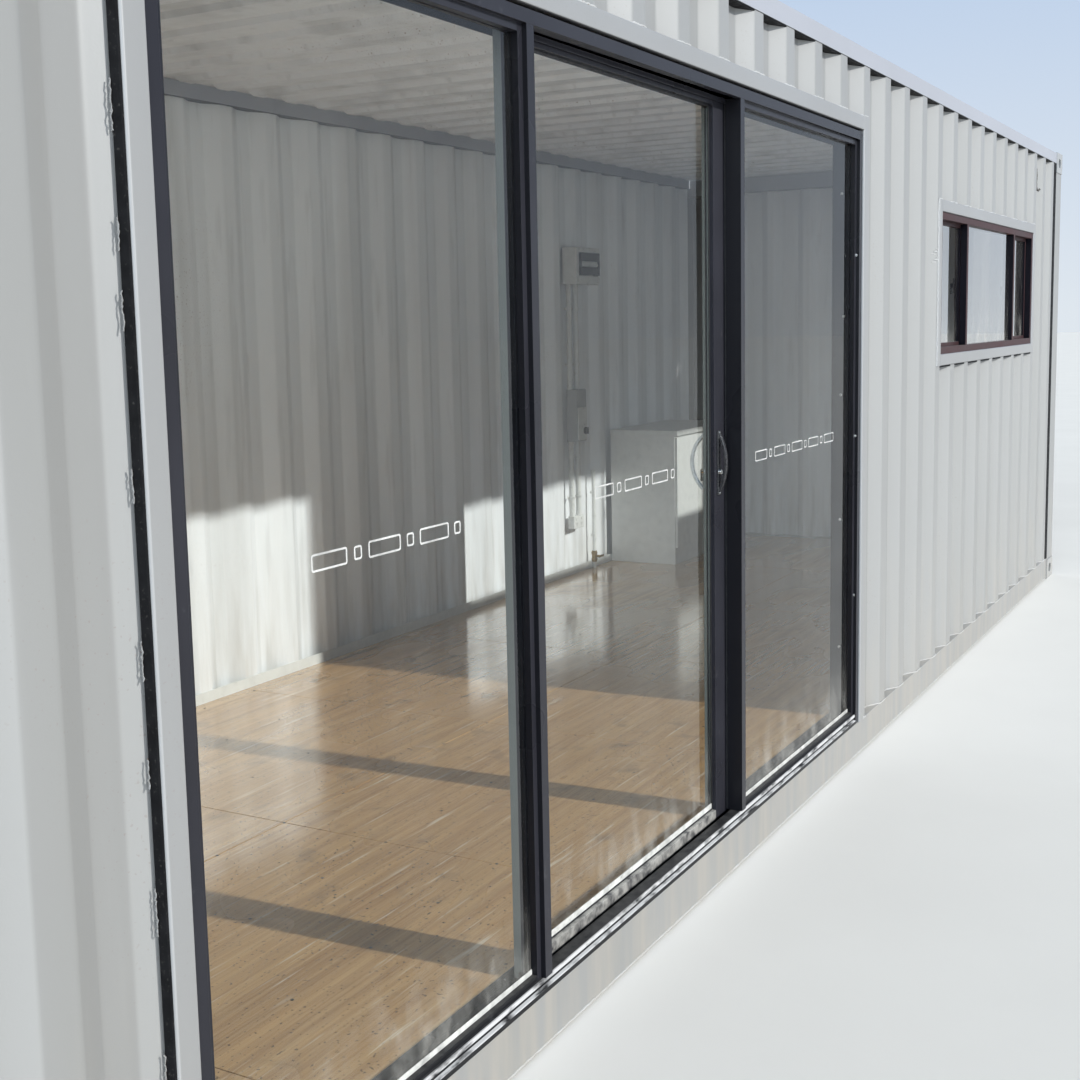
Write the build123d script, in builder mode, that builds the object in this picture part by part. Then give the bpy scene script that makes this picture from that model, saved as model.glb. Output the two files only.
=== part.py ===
# Shipping container cabin: a steel freight container with a sliding glass door and a long window
# cut into one side. Millimetres. X runs along the container, the glazed side faces -Y, Z is up,
# and the origin lies on the ground under the middle of the body.
import os

from build123d import *

os.makedirs("parts", exist_ok=True)

# Overall size
length = 12192.0
width = 2438.0
height = 2591.0

# Corner castings and posts
casting_length = 178.0
casting_width = 162.0
casting_height = 118.0
casting_wall = 15.0
casting_hole_long = 79.0
casting_hole_high = 51.0
casting_slot_long = 124.0
casting_slot_wide = 63.5
post_inset = 4.0
post_sheet = 6.0
post_lip = 50.0

# Side rails, end rails and floor frame
ground_gap = 8.0
bottom_rail_flange = 48.0
bottom_rail_sheet = 4.5
top_rail_size = 60.0
top_rail_sheet = 3.0
top_rail_drop = 5.0
end_rail_depth = 100.0
end_header_drop = 40.0
floor_top = 158.0
floor_board = 28.0
floor_board_length = 1210.0
floor_joint = 2.0
cross_member_count = 39
cross_member_flange = 45.0
cross_member_sheet = 4.0
skirting_height = 45.0
skirting_sheet = 3.0

# Corrugated walls and roof
wall_inset = 7.0
wall_sheet = 2.0
side_pitch = 277.0
side_depth = 36.0
side_slope = 68.0
side_outer_flat = 72.0
side_last_edge = 247.0
end_pitch = 250.0
end_depth = 45.0
end_slope = 45.0
end_outer_flat = 110.0
roof_sheet = 2.0
roof_pitch = 209.0
roof_trough_width = 91.0
roof_trough_depth = 18.0
roof_trough_slope = 35.0
roof_margin = 40.0

# Steel frames round the door and the window
steel_size = 50.0
steel_sheet = 3.0
steel_corner = 5.0

# Sliding door: a fixed light on each side, with the sliding panel behind them
door_centre = 100.5
door_width = 3563.0
door_drop = 297.0
door_head_gap = 6.0
door_depth = 100.0
frame_face = 30.0
frame_sheet = 2.5
bead_width = 18.0
bead_setback = 12.0
bead_back = 11.0
bead_foot = 12.0
glass_setback = 28.0
glass_sheet = 6.0
glass_gap = 3.0
left_light = 1149.0
right_light = 1207.0
mullion_face = 31.0
mullion_depth = 46.0
sill_height = 36.0
sill_step = 14.0
sill_groove = 26.0
sill_recess = 8.0
sill_lip = 3.0
panel_setback = 54.0
panel_depth = 36.0
panel_stile = 95.0
panel_rail = 42.0
panel_overlap = 20.0
panel_sheet = 3.0
track_cover = 15.0
track_height = 14.0
track_width = 2.0
track_gap = 0.3
roller_radius = 11.0
roller_width = 6.0
roller_inset = 90.0
roller_slot_width = 12.0
roller_slot_height = 33.0
roller_pin_radius = 2.5
sill_floor = 8.0
head_channel = 42.0
handle_height = 1227.0
handle_length = 165.0
handle_inset = 67.0
handle_outside_reach = 28.0
handle_inside_reach = 50.0
handle_bar = 8.0
handle_bar_width = 14.0
handle_plate_width = 24.0
handle_plate_sheet = 5.0
handle_plate_margin = 12.0

# Long window with a fixed middle light and a light behind it at each end
window_end_gap = 883.0
window_width = 2145.0
window_drop = 508.0
window_height = 613.0
window_depth = 76.0
window_side_light = 478.0
window_glass_setback = 20.0
sash_setback = 32.0
sash_depth = 24.0
sash_face = 16.0
sash_overlap = 18.0
window_glass = 4.0

# Inside fittings on the back wall
board_end_gap = 2020.0
board_width = 300.0
board_height = 210.0
board_bottom = 1860.0
board_depth = 90.0
isolator_end_gap = 1998.0
isolator_width = 120.0
isolator_height = 305.0
isolator_bottom = 950.0
isolator_depth = 70.0
outlet_end_gap = 2000.0
outlet_width = 125.0
outlet_height = 75.0
outlet_bottom = 435.0
outlet_depth = 40.0
conduit_size = 32.0
conduit_spacing = 82.0
pipe_end_gap = 1696.0
pipe_size = 22.0
pipe_height = 590.0
cupboard_end_gap = 520.0
cupboard_length = 910.0
cupboard_depth = 430.0
cupboard_height = 820.0

# Cargo doors at the left end
cargo_sheet = 2.0
cargo_frame = 50.0
cargo_rib_count = 5
cargo_rib_flat = 230.0
cargo_rib_slope = 40.0
cargo_rib_depth = 34.0
cargo_rib_inset = 8.0
cargo_gap = 12.0
lock_rod_size = 34.0
rod_handle_length = 330.0
rod_handle_width = 40.0
rod_handle_sheet = 8.0
rod_handle_height = 1150.0
hinge_count = 4
hinge_height = 90.0
hinge_reach = 60.0
hinge_blade = 10.0
seat_gap = 0.3

# Places that follow from the sizes above
bottom_rail_top = floor_top - floor_board
half_length = length / 2
half_width = width / 2
front_face = -half_width + wall_inset
back_face = half_width - wall_inset
post_edge = half_length - casting_length
rail_top = height - top_rail_drop
rail_under = rail_top - top_rail_size
wall_bottom = bottom_rail_top
wall_top = rail_under
door_left = door_centre - door_width / 2
door_right = door_left + door_width
door_top = height - door_drop
door_bottom = bottom_rail_top
steel_front = front_face - wall_inset
header_bottom = door_top + door_head_gap
window_right = half_length - window_end_gap
window_left = window_right - window_width
window_top = height - window_drop
window_bottom = window_top - window_height
board_left = half_length - board_end_gap
isolator_left = half_length - isolator_end_gap
outlet_left = half_length - outlet_end_gap
pipe_place = half_length - pipe_end_gap
cupboard_left = half_length - cupboard_end_gap - cupboard_length
inner_face = back_face - side_depth - wall_sheet


def corrugation_line(start, end, first_edge, pitch, slope, outer_flat, depth):
    """Points (along, inwards) of a pressed sheet between two places, from its outer face inwards."""
    inner_flat = pitch - outer_flat - 2 * slope
    corners = [(0.0, 0.0), (slope, depth), (slope + inner_flat, depth), (pitch - outer_flat, 0.0)]
    count_back = int((first_edge - start) // pitch) + 2
    edge = first_edge - count_back * pitch
    points = []
    while edge < end + pitch:
        points += [(edge + along, inwards) for along, inwards in corners]
        edge += pitch

    def level(place):
        for (a, p), (b, q) in zip(points, points[1:]):
            if a <= place <= b:
                return p + (q - p) * (place - a) / (b - a)
        return 0.0

    inside = [point for point in points if start + 0.5 < point[0] < end - 0.5]
    return [(start, level(start))] + inside + [(end, level(end))]


def side_sheet(start, end, outer, inwards):
    """Closed outline of a side wall's sheet, seen from above."""
    first_edge = half_length - side_last_edge
    line = corrugation_line(start, end, first_edge, side_pitch, side_slope, side_outer_flat, side_depth)
    outside = [(x, outer + inwards * y) for x, y in line]
    inside = [(x, y + inwards * wall_sheet) for x, y in outside]
    return outside + inside[::-1]


def save(piece, name):
    piece.part.label = name
    export_step(piece.part, f"parts/{name}.step")


# Corner castings: hollow blocks with a hole in each outer face and a slot above or below
with BuildPart() as corner_castings:
    for sx in (-1, 1):
        for sy in (-1, 1):
            for level, outward in ((0.0, -1), (height, 1)):
                cx = sx * (half_length - casting_length / 2)
                cy = sy * (half_width - casting_width / 2)
                cz = level - outward * casting_height / 2
                with Locations((cx, cy, cz)):
                    Box(casting_length, casting_width, casting_height)
                    Box(
                        casting_length - 2 * casting_wall,
                        casting_width - 2 * casting_wall,
                        casting_height - 2 * casting_wall,
                        mode=Mode.SUBTRACT,
                    )
                with BuildSketch(Plane((cx, sy * half_width, cz), x_dir=(1, 0, 0), z_dir=(0, -sy, 0))):
                    SlotOverall(casting_hole_long, casting_hole_high)
                extrude(amount=casting_wall + 1, mode=Mode.SUBTRACT)
                with BuildSketch(Plane((sx * half_length, cy, cz), x_dir=(0, 1, 0), z_dir=(-sx, 0, 0))):
                    SlotOverall(casting_hole_long, casting_hole_high)
                extrude(amount=casting_wall + 1, mode=Mode.SUBTRACT)
                with BuildSketch(Plane((cx, cy, level), x_dir=(1, 0, 0), z_dir=(0, 0, -outward))):
                    SlotOverall(casting_slot_long, casting_slot_wide)
                extrude(amount=casting_wall + 1, mode=Mode.SUBTRACT)
save(corner_castings, "corner_castings")

# Corner posts: a pressed steel corner with lips turned in against the walls
with BuildPart() as corner_posts:
    for sx in (-1, 1):
        for sy in (-1, 1):
            ox = sx * (half_length - post_inset)
            oy = sy * (half_width - post_inset)
            ix = sx * post_edge
            iy = sy * (half_width - casting_width)
            lip_x = sx * (post_edge + post_sheet)
            lip_y = sy * (half_width - casting_width + post_sheet)
            wall_x = ox - sx * post_sheet
            wall_y = oy - sy * post_sheet
            lip_end = sy * (half_width - wall_inset - side_depth - wall_sheet)
            with BuildSketch(Plane.XY.offset(casting_height)):
                with BuildLine():
                    Polyline(
                        (ix, oy), (ox, oy), (ox, iy), (ox - sx * post_lip, iy), (ox - sx * post_lip, lip_y),
                        (wall_x, lip_y), (wall_x, wall_y), (lip_x, wall_y), (lip_x, lip_end),
                        (ix, lip_end), close=True,
                    )
                make_face()
            extrude(amount=height - 2 * casting_height)
save(corner_posts, "corner_posts")

# Bottom side rails: channels with their flanges turned inwards
with BuildPart() as bottom_rails:
    for sy in (-1, 1):
        outer = sy * (half_width - wall_inset)
        inner = outer - sy * bottom_rail_flange
        web = outer - sy * bottom_rail_sheet
        low = ground_gap
        high = bottom_rail_top
        with BuildSketch(Plane.YZ.offset(-post_edge)):
            with BuildLine():
                Polyline(
                    (outer, low), (inner, low), (inner, low + bottom_rail_sheet),
                    (web, low + bottom_rail_sheet), (web, high - bottom_rail_sheet),
                    (inner, high - bottom_rail_sheet), (inner, high), (outer, high), close=True,
                )
            make_face()
        extrude(amount=2 * post_edge)
save(bottom_rails, "bottom_side_rails")

# Top side rails: square tubes
with BuildPart() as top_rails:
    for sy in (-1, 1):
        centre = sy * (half_width - post_inset - top_rail_size / 2)
        with BuildSketch(Plane.YZ.offset(-post_edge)):
            with Locations((centre, rail_under + top_rail_size / 2)):
                Rectangle(top_rail_size, top_rail_size)
                Rectangle(
                    top_rail_size - 2 * top_rail_sheet,
                    top_rail_size - 2 * top_rail_sheet,
                    mode=Mode.SUBTRACT,
                )
        extrude(amount=2 * post_edge)
save(top_rails, "top_side_rails")

# End rails: box sections across each end, at the floor and under the roof
header_low = rail_under - end_header_drop
for name, low, high in (("end_sills", ground_gap, floor_top), ("end_headers", header_low, rail_top)):
    with BuildPart() as end_rails:
        for sx in (-1, 1):
            with Locations((sx * (half_length - post_inset - end_rail_depth / 2), 0, (low + high) / 2)):
                Box(end_rail_depth, width - 2 * casting_width, high - low)
                Box(
                    end_rail_depth - 2 * post_sheet,
                    width - 2 * casting_width,
                    high - low - 2 * post_sheet,
                    mode=Mode.SUBTRACT,
                )
    save(end_rails, name)

# Cross members: steel channels under the floor boards, between the bottom side rails
member_span = width - 2 * (wall_inset + bottom_rail_flange)
member_low = ground_gap + 12
member_high = bottom_rail_top
inner_span = length - 2 * (post_inset + end_rail_depth) - cross_member_flange
member_pitch = inner_span / (cross_member_count + 1)
with BuildPart() as members:
    with BuildSketch(Plane.XZ.offset(-member_span / 2)):
        for index in range(1, cross_member_count + 1):
            x = -(inner_span + cross_member_flange) / 2 + index * member_pitch
            with BuildLine():
                Polyline(
                    (x, member_low), (x + cross_member_flange, member_low),
                    (x + cross_member_flange, member_low + cross_member_sheet),
                    (x + cross_member_sheet, member_low + cross_member_sheet),
                    (x + cross_member_sheet, member_high - cross_member_sheet),
                    (x + cross_member_flange, member_high - cross_member_sheet),
                    (x + cross_member_flange, member_high), (x, member_high), close=True,
                )
            make_face()
    extrude(amount=member_span)
save(members, "floor_cross_members")

# Floor boards: plywood sheets in two rows on the cross members, cut back round the door frame
floor_end = half_length - post_inset - end_rail_depth - 1
floor_half = half_width - wall_inset - side_depth - wall_sheet - 1
board_count = round(2 * floor_end / floor_board_length)
board_length = (2 * floor_end - (board_count - 1) * floor_joint) / board_count
board_row = floor_half - floor_joint / 2
with BuildPart() as floor:
    for row in (-1, 1):
        for index in range(board_count):
            x = -floor_end + board_length / 2 + index * (board_length + floor_joint)
            with Locations((x, row * (floor_half + floor_joint / 2) / 2, floor_top - floor_board / 2)):
                Box(board_length, board_row, floor_board)
    with Locations(((door_left + door_right) / 2, front_face, floor_top)):
        Box(
            door_width + 2 * steel_size + 2 * floor_joint,
            2 * (door_depth + floor_joint),
            2 * floor_board + 1,
            mode=Mode.SUBTRACT,
        )
save(floor, "plywood_floor")


# Walls: pressed steel sheets that stand on the bottom rail and end under the top rail
def side_wall(start, end, low, high, outer, inwards, name):
    with BuildPart() as wall:
        with BuildSketch(Plane.XY.offset(low)):
            with BuildLine():
                Polyline(*side_sheet(start, end, outer, inwards), close=True)
            make_face()
        extrude(amount=high - low)
    save(wall, name)


steel_left = door_left - steel_size
steel_right = door_right + steel_size
hole_left = window_left - steel_size
hole_right = window_right + steel_size
hole_bottom = window_bottom - steel_size
hole_top = window_top + steel_size
header_top = header_bottom + steel_size
side_wall(-post_edge, steel_left, wall_bottom, wall_top, front_face, 1, "front_wall_left")
side_wall(steel_left, steel_right, header_top, wall_top, front_face, 1, "front_wall_over_door")
side_wall(steel_right, hole_left, wall_bottom, wall_top, front_face, 1, "front_wall_middle")
side_wall(hole_left, hole_right, wall_bottom, hole_bottom, front_face, 1, "front_wall_under_window")
side_wall(hole_left, hole_right, hole_top, wall_top, front_face, 1, "front_wall_over_window")
side_wall(hole_right, post_edge, wall_bottom, wall_top, front_face, 1, "front_wall_right")
side_wall(-post_edge, post_edge, wall_bottom, wall_top, back_face, -1, "back_wall")

# Right end wall: deeper corrugations between the two right corner posts
end_outer = half_length - post_inset - 2
end_half = half_width - casting_width
end_line = corrugation_line(
    -end_half, end_half, end_outer_flat / 2, end_pitch, end_slope, end_outer_flat, end_depth
)
end_outside = [(end_outer - inwards, along) for along, inwards in end_line]
end_inside = [(x - wall_sheet, y) for x, y in end_outside]
with BuildPart() as end_wall:
    with BuildSketch(Plane.XY.offset(floor_top)):
        with BuildLine():
            Polyline(*(end_outside + end_inside[::-1]), close=True)
        make_face()
    extrude(amount=header_low - floor_top)
save(end_wall, "right_end_wall")

# Roof: a flat sheet on the top rails, with troughs pressed down across it
roof_half_width = half_width - post_inset - 12
roof_half_length = half_length - post_inset - 12
trough_half = half_width - post_inset - top_rail_size - roof_margin
trough_count = int((2 * roof_half_length - 2 * casting_length) // roof_pitch)
with BuildPart() as roof:
    with BuildSketch(Plane.XY.offset(rail_top)):
        Rectangle(2 * roof_half_length, 2 * roof_half_width)
        with GridLocations(2 * roof_half_length, 2 * roof_half_width, 2, 2):
            Rectangle(2 * casting_length, 2 * casting_width, mode=Mode.SUBTRACT)
    extrude(amount=roof_sheet)
    with BuildSketch(Plane.XY.offset(rail_top)):
        with GridLocations(roof_pitch, 1, trough_count, 1):
            Rectangle(roof_trough_width, 2 * trough_half)
    extrude(amount=-roof_trough_depth, taper=roof_trough_slope)
    with BuildSketch(Plane.XY.offset(rail_top + roof_sheet)):
        with GridLocations(roof_pitch, 1, trough_count, 1):
            Rectangle(roof_trough_width, 2 * trough_half)
    extrude(amount=-roof_trough_depth, taper=roof_trough_slope, mode=Mode.SUBTRACT)
save(roof, "roof_sheet")


# Steel frames: square tubes with rounded edges, welded to the cut edges of the wall
def tube_outline():
    """Section of the square tube, centred on the place it is drawn at."""
    RectangleRounded(steel_size, steel_size, steel_corner)
    Rectangle(steel_size - 2 * steel_sheet, steel_size - 2 * steel_sheet, mode=Mode.SUBTRACT)


steel_middle = steel_front + steel_size / 2
with BuildPart() as door_posts:
    with BuildSketch(Plane.XY.offset(bottom_rail_top)):
        for x in (door_left - steel_size / 2, door_right + steel_size / 2):
            with Locations((x, steel_middle)):
                tube_outline()
    extrude(amount=header_top - bottom_rail_top)
save(door_posts, "door_steel_posts")

with BuildPart() as door_header:
    with BuildSketch(Plane.YZ.offset(door_left)):
        with Locations((steel_middle, header_bottom + steel_size / 2)):
            tube_outline()
    extrude(amount=door_width)
save(door_header, "door_steel_header")

with BuildPart() as window_posts:
    with BuildSketch(Plane.XY.offset(hole_bottom)):
        for x in (window_left - steel_size / 2, window_right + steel_size / 2):
            with Locations((x, steel_middle)):
                tube_outline()
    extrude(amount=hole_top - hole_bottom)
save(window_posts, "window_steel_posts")

with BuildPart() as window_beams:
    with BuildSketch(Plane.YZ.offset(window_left)):
        for z in (hole_bottom + steel_size / 2, window_top + steel_size / 2):
            with Locations((steel_middle, z)):
                tube_outline()
    extrude(amount=window_width)
save(window_beams, "window_steel_beams")

# Door frame: aluminium sections with a glazing groove for the fixed lights
groove_front = front_face + bead_setback
groove_back = front_face + glass_setback + glass_sheet + bead_back
glass_front = front_face + glass_setback
bead_depths = ((groove_front, glass_front), (glass_front + glass_sheet, groove_back))
sill_top = door_bottom + sill_height
frame_back = front_face + door_depth
head_low = door_top - frame_face


def glazing_bead(face, toward):
    """Plan of the pair of beads that hold a fixed light, from a face towards the glass."""
    for low, high in bead_depths:
        with Locations((face + toward * bead_width / 2, (low + high) / 2)):
            Rectangle(bead_width, high - low)


with BuildPart() as door_jambs:
    for outer, toward in ((door_left, 1), (door_right, -1)):
        with BuildSketch(Plane.XY.offset(door_bottom)):
            with Locations((outer + toward * frame_face / 2, front_face + door_depth / 2)):
                Rectangle(frame_face, door_depth)
                Rectangle(frame_face - 2 * frame_sheet, door_depth - 2 * frame_sheet, mode=Mode.SUBTRACT)
        extrude(amount=door_top - door_bottom)
        with BuildSketch(Plane.XY.offset(sill_top)):
            glazing_bead(outer + toward * frame_face, toward)
        extrude(amount=head_low - sill_top)
save(door_jambs, "door_jambs")

left_edge = door_left + left_light
right_edge = door_right - right_light
fixed_lights = (
    (door_left + frame_face, left_edge - mullion_face),
    (right_edge + mullion_face, door_right - frame_face),
)
with BuildPart() as door_mullions:
    for glass_side, toward in ((left_edge - mullion_face, -1), (right_edge + mullion_face, 1)):
        with BuildSketch(Plane.XY.offset(sill_top)):
            with Locations((glass_side - toward * mullion_face / 2, front_face + mullion_depth / 2)):
                Rectangle(mullion_face, mullion_depth)
                Rectangle(
                    mullion_face - 2 * frame_sheet, mullion_depth - 2 * frame_sheet, mode=Mode.SUBTRACT
                )
            glazing_bead(glass_side, toward)
        extrude(amount=head_low - sill_top)
save(door_mullions, "door_mullions")

# Door sill: a grooved nose, a bed with beads for the fixed lights, and the sliding panel's track
nose = front_face
bed_back = front_face + mullion_depth
floor_level = door_bottom + sill_floor
track_middle = front_face + panel_setback + panel_depth / 2
with BuildPart() as sill:
    with BuildSketch(Plane.YZ.offset(door_left + frame_face)):
        with BuildLine():
            Polyline(
                (nose, door_bottom), (nose, door_bottom + sill_step),
                (nose + sill_recess, door_bottom + sill_step + 2),
                (nose + sill_recess, door_bottom + sill_groove),
                (nose + sill_lip, door_bottom + sill_groove), (nose + sill_lip, sill_top),
                (bed_back, sill_top), (bed_back, floor_level),
                (track_middle - track_width / 2, floor_level),
                (track_middle - track_width / 2, floor_level + track_height),
                (track_middle + track_width / 2, floor_level + track_height),
                (track_middle + track_width / 2, floor_level), (frame_back - 3, floor_level),
                (frame_back - 3, sill_top - 2), (frame_back, sill_top - 2), (frame_back, door_bottom),
                close=True,
            )
        make_face()
    extrude(amount=door_width - 2 * frame_face)
    for left, right in fixed_lights:
        with BuildSketch(Plane.YZ.offset(left + bead_width)):
            for low, high in bead_depths:
                with Locations(((low + high) / 2, sill_top + bead_foot / 2)):
                    Rectangle(high - low, bead_foot)
        extrude(amount=right - left - 2 * bead_width)
save(sill, "door_sill")

# Door head: a box over the fixed lights and a channel open below for the sliding panel
channel_low = door_top - head_channel
with BuildPart() as head:
    with BuildSketch(Plane.YZ.offset(door_left + frame_face)):
        with BuildLine():
            Polyline(
                (nose, head_low), (bed_back, head_low), (bed_back, channel_low),
                (bed_back + 3, channel_low), (bed_back + 3, door_top - 3), (frame_back - 3, door_top - 3),
                (frame_back - 3, channel_low), (frame_back, channel_low), (frame_back, door_top),
                (nose, door_top), close=True,
            )
        make_face()
        with Locations((nose + mullion_depth / 2, door_top - frame_face / 2)):
            Rectangle(mullion_depth - 2 * frame_sheet, frame_face - 2 * frame_sheet, mode=Mode.SUBTRACT)
    extrude(amount=door_width - 2 * frame_face)
    for left, right in fixed_lights:
        with BuildSketch(Plane.YZ.offset(left + bead_width)):
            for low, high in bead_depths:
                with Locations(((low + high) / 2, head_low - bead_width / 2)):
                    Rectangle(high - low, bead_width)
        extrude(amount=right - left - 2 * bead_width)
save(head, "door_head")

# Fixed lights: one pane on each side, held between the beads
with BuildPart() as fixed_glass:
    pane_middle = (sill_top + head_low - glass_gap) / 2
    for left, right in fixed_lights:
        with Locations(((left + right) / 2, glass_front + glass_sheet / 2, pane_middle)):
            Box(right - left - 2 * glass_gap, glass_sheet, head_low - glass_gap - sill_top)
save(fixed_glass, "door_fixed_glass")

# Sliding panel: stiles and rails of aluminium tube, one pane, two rollers and the pull handles
panel_left = left_edge - panel_overlap
panel_right = right_edge + panel_overlap
panel_front = front_face + panel_setback
panel_middle = panel_front + panel_depth / 2
panel_low = floor_level + track_height - 8
panel_high = door_top - 3 - 8
panel_height = panel_high - panel_low
rail_left = panel_left + panel_stile
rail_right = panel_right - panel_stile
with BuildPart() as stiles:
    for left in (panel_left, rail_right):
        with BuildSketch(Plane.XY.offset(panel_low)):
            with Locations((left + panel_stile / 2, panel_middle)):
                Rectangle(panel_stile, panel_depth)
                Rectangle(panel_stile - 2 * panel_sheet, panel_depth - 2 * panel_sheet, mode=Mode.SUBTRACT)
        extrude(amount=panel_height)
        with Locations((left + panel_stile / 2, panel_middle, panel_low)):
            Box(panel_stile, roller_slot_width, 2 * track_cover, mode=Mode.SUBTRACT)
save(stiles, "sliding_panel_stiles")

with BuildPart() as panel_rails:
    with BuildSketch(Plane.YZ.offset(rail_left)):
        with Locations((panel_middle, panel_low + panel_rail / 2)):
            Rectangle(panel_depth, panel_rail)
        with Locations((panel_middle, panel_low + roller_slot_height / 2)):
            Rectangle(roller_slot_width, roller_slot_height, mode=Mode.SUBTRACT)
        with Locations((panel_middle, panel_high - panel_rail / 2)):
            Rectangle(panel_depth, panel_rail)
            Rectangle(panel_depth - 2 * panel_sheet, panel_rail - 2 * panel_sheet, mode=Mode.SUBTRACT)
    extrude(amount=rail_right - rail_left)
save(panel_rails, "sliding_panel_rails")

roller_low = floor_level + track_height + track_gap
with BuildPart() as rollers:
    for x in (rail_left + roller_inset, rail_right - roller_inset):
        wheel = Plane((x, panel_middle - roller_width / 2, roller_low + roller_radius), z_dir=(0, 1, 0))
        with BuildSketch(wheel):
            Circle(roller_radius)
        extrude(amount=roller_width)
        pin = Plane((x, panel_middle - roller_slot_width / 2, roller_low + roller_radius), z_dir=(0, 1, 0))
        with BuildSketch(pin):
            Circle(roller_pin_radius)
        extrude(amount=roller_slot_width)
save(rollers, "sliding_panel_rollers")

pane_left = rail_left
pane_right = rail_right
pane_bottom = panel_low + panel_rail
pane_top = panel_high - panel_rail
with BuildPart() as pane:
    with Locations(((pane_left + pane_right) / 2, panel_middle, (pane_bottom + pane_top) / 2)):
        Box(pane_right - pane_left, glass_sheet, pane_top - pane_bottom)
save(pane, "sliding_panel_glass")

handle_x = panel_right - handle_inset
with BuildPart() as handles:
    for face, away, reach in (
        (panel_front, -1, handle_outside_reach),
        (panel_front + panel_depth, 1, handle_inside_reach),
    ):
        with Locations((handle_x, face + away * handle_plate_sheet / 2, handle_height)):
            Box(handle_plate_width, handle_plate_sheet, handle_length + 2 * handle_plate_margin)
        foot = face + away * handle_plate_sheet
        low = Vector(handle_x, foot, handle_height - handle_length / 2)
        high = Vector(handle_x, foot, handle_height + handle_length / 2)
        with BuildLine() as bow:
            ThreePointArc(low, Vector(handle_x, face + away * (reach - handle_bar / 2), handle_height), high)
        with BuildSketch(Plane(low, x_dir=(1, 0, 0), z_dir=bow.line % 0)):
            Rectangle(handle_bar_width, handle_bar)
        sweep(path=bow.line)
save(handles, "sliding_panel_handles")

# Window frame: outer frame, two mullions with the fixed middle pane, and a sash behind at each end
window_back = front_face + window_depth
first_mullion = window_left + frame_face + window_side_light
second_mullion = window_right - frame_face - window_side_light - mullion_face
with BuildPart() as window_frame:
    with BuildSketch(Plane.XZ.offset(-window_back)):
        with Locations(((window_left + window_right) / 2, (window_bottom + window_top) / 2)):
            Rectangle(window_width, window_height)
            Rectangle(window_width - 2 * frame_face, window_height - 2 * frame_face, mode=Mode.SUBTRACT)
    extrude(amount=window_depth)
save(window_frame, "window_frame")

opening_low = window_bottom + frame_face
opening_high = window_top - frame_face
window_glass_front = front_face + window_glass_setback
sash_front = front_face + sash_setback
with BuildPart() as window_mullions:
    with BuildSketch(Plane.XY.offset(opening_low)):
        for left in (first_mullion, second_mullion):
            with Locations((left + mullion_face / 2, (front_face + sash_front - 2) / 2)):
                Rectangle(mullion_face, sash_setback - 2)
    extrude(amount=opening_high - opening_low)
save(window_mullions, "window_mullions")

sash_middle = sash_front + sash_depth / 2
sash_width = window_side_light + sash_overlap
sash_high = opening_high - opening_low
sash_centre = (opening_low + opening_high) / 2
first_sash = window_left + frame_face + sash_width / 2
second_sash = window_right - frame_face - sash_width / 2
with BuildPart() as sashes:
    with BuildSketch(Plane.XZ.offset(-sash_front - sash_depth)):
        for x in (first_sash, second_sash):
            with Locations((x, sash_centre)):
                Rectangle(sash_width, sash_high)
                Rectangle(sash_width - 2 * sash_face, sash_high - 2 * sash_face, mode=Mode.SUBTRACT)
    extrude(amount=sash_depth)
save(sashes, "window_sashes")

middle_left = first_mullion + mullion_face
with BuildPart() as window_panes:
    with Locations(((middle_left + second_mullion) / 2, window_glass_front + window_glass / 2, sash_centre)):
        Box(second_mullion - middle_left, window_glass, sash_high)
    with Locations((first_sash, sash_middle, sash_centre), (second_sash, sash_middle, sash_centre)):
        Box(sash_width - 2 * sash_face, window_glass, sash_high - 2 * sash_face)
save(window_panes, "window_glass")

# Skirting: a flat strip along the foot of the back wall
with BuildPart() as skirting:
    with BuildSketch(Plane.YZ.offset(-post_edge + 1)):
        with BuildLine():
            Polyline(
                (inner_face - seat_gap, floor_top), (inner_face - seat_gap - skirting_sheet, floor_top),
                (inner_face - seat_gap - skirting_sheet, floor_top + skirting_height),
                (inner_face - seat_gap, floor_top + skirting_height), close=True,
            )
        make_face()
    extrude(amount=2 * post_edge - 2)
save(skirting, "back_skirting")

# Electrical fittings on the back wall: distribution board, conduits, isolator and outlet
def wall_box(left, low, wide, high, deep, name):
    with BuildPart() as box:
        with Locations((left + wide / 2, inner_face - deep / 2, low + high / 2)):
            Box(wide, deep, high)
        fillet(box.faces().sort_by(Axis.Y)[0].edges(), 6)
    save(box, name)


wall_box(board_left, board_bottom, board_width, board_height, board_depth, "distribution_board")
wall_box(isolator_left, isolator_bottom, isolator_width, isolator_height, isolator_depth, "isolator_box")
wall_box(outlet_left, outlet_bottom, outlet_width, outlet_height, outlet_depth, "power_outlet")
conduit_y = inner_face - conduit_size / 2
conduit_middle = isolator_left + isolator_width / 2
outlet_top = outlet_bottom + outlet_height
isolator_top = isolator_bottom + isolator_height
with BuildPart() as conduits:
    for x in (conduit_middle - conduit_spacing / 2, conduit_middle + conduit_spacing / 2):
        for low, high in ((isolator_top, board_bottom), (outlet_top, isolator_bottom)):
            with BuildSketch(Plane((x, conduit_y, low))):
                Circle(conduit_size / 2)
            extrude(amount=high - low)
save(conduits, "wall_conduits")

with BuildPart() as pipe:
    with BuildSketch(Plane((pipe_place, inner_face - skirting_sheet - 1 - pipe_size / 2, floor_top))):
        Circle(pipe_size / 2)
    extrude(amount=pipe_height)
save(pipe, "water_pipe")

# Cupboard in the corner
cupboard_front = inner_face - skirting_sheet - 1 - cupboard_depth
with BuildPart() as cupboard:
    with Locations(
        (
            cupboard_left + cupboard_length / 2,
            cupboard_front + cupboard_depth / 2,
            floor_top + cupboard_height / 2,
        )
    ):
        Box(cupboard_length, cupboard_depth, cupboard_height)
save(cupboard, "corner_cupboard")

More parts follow.
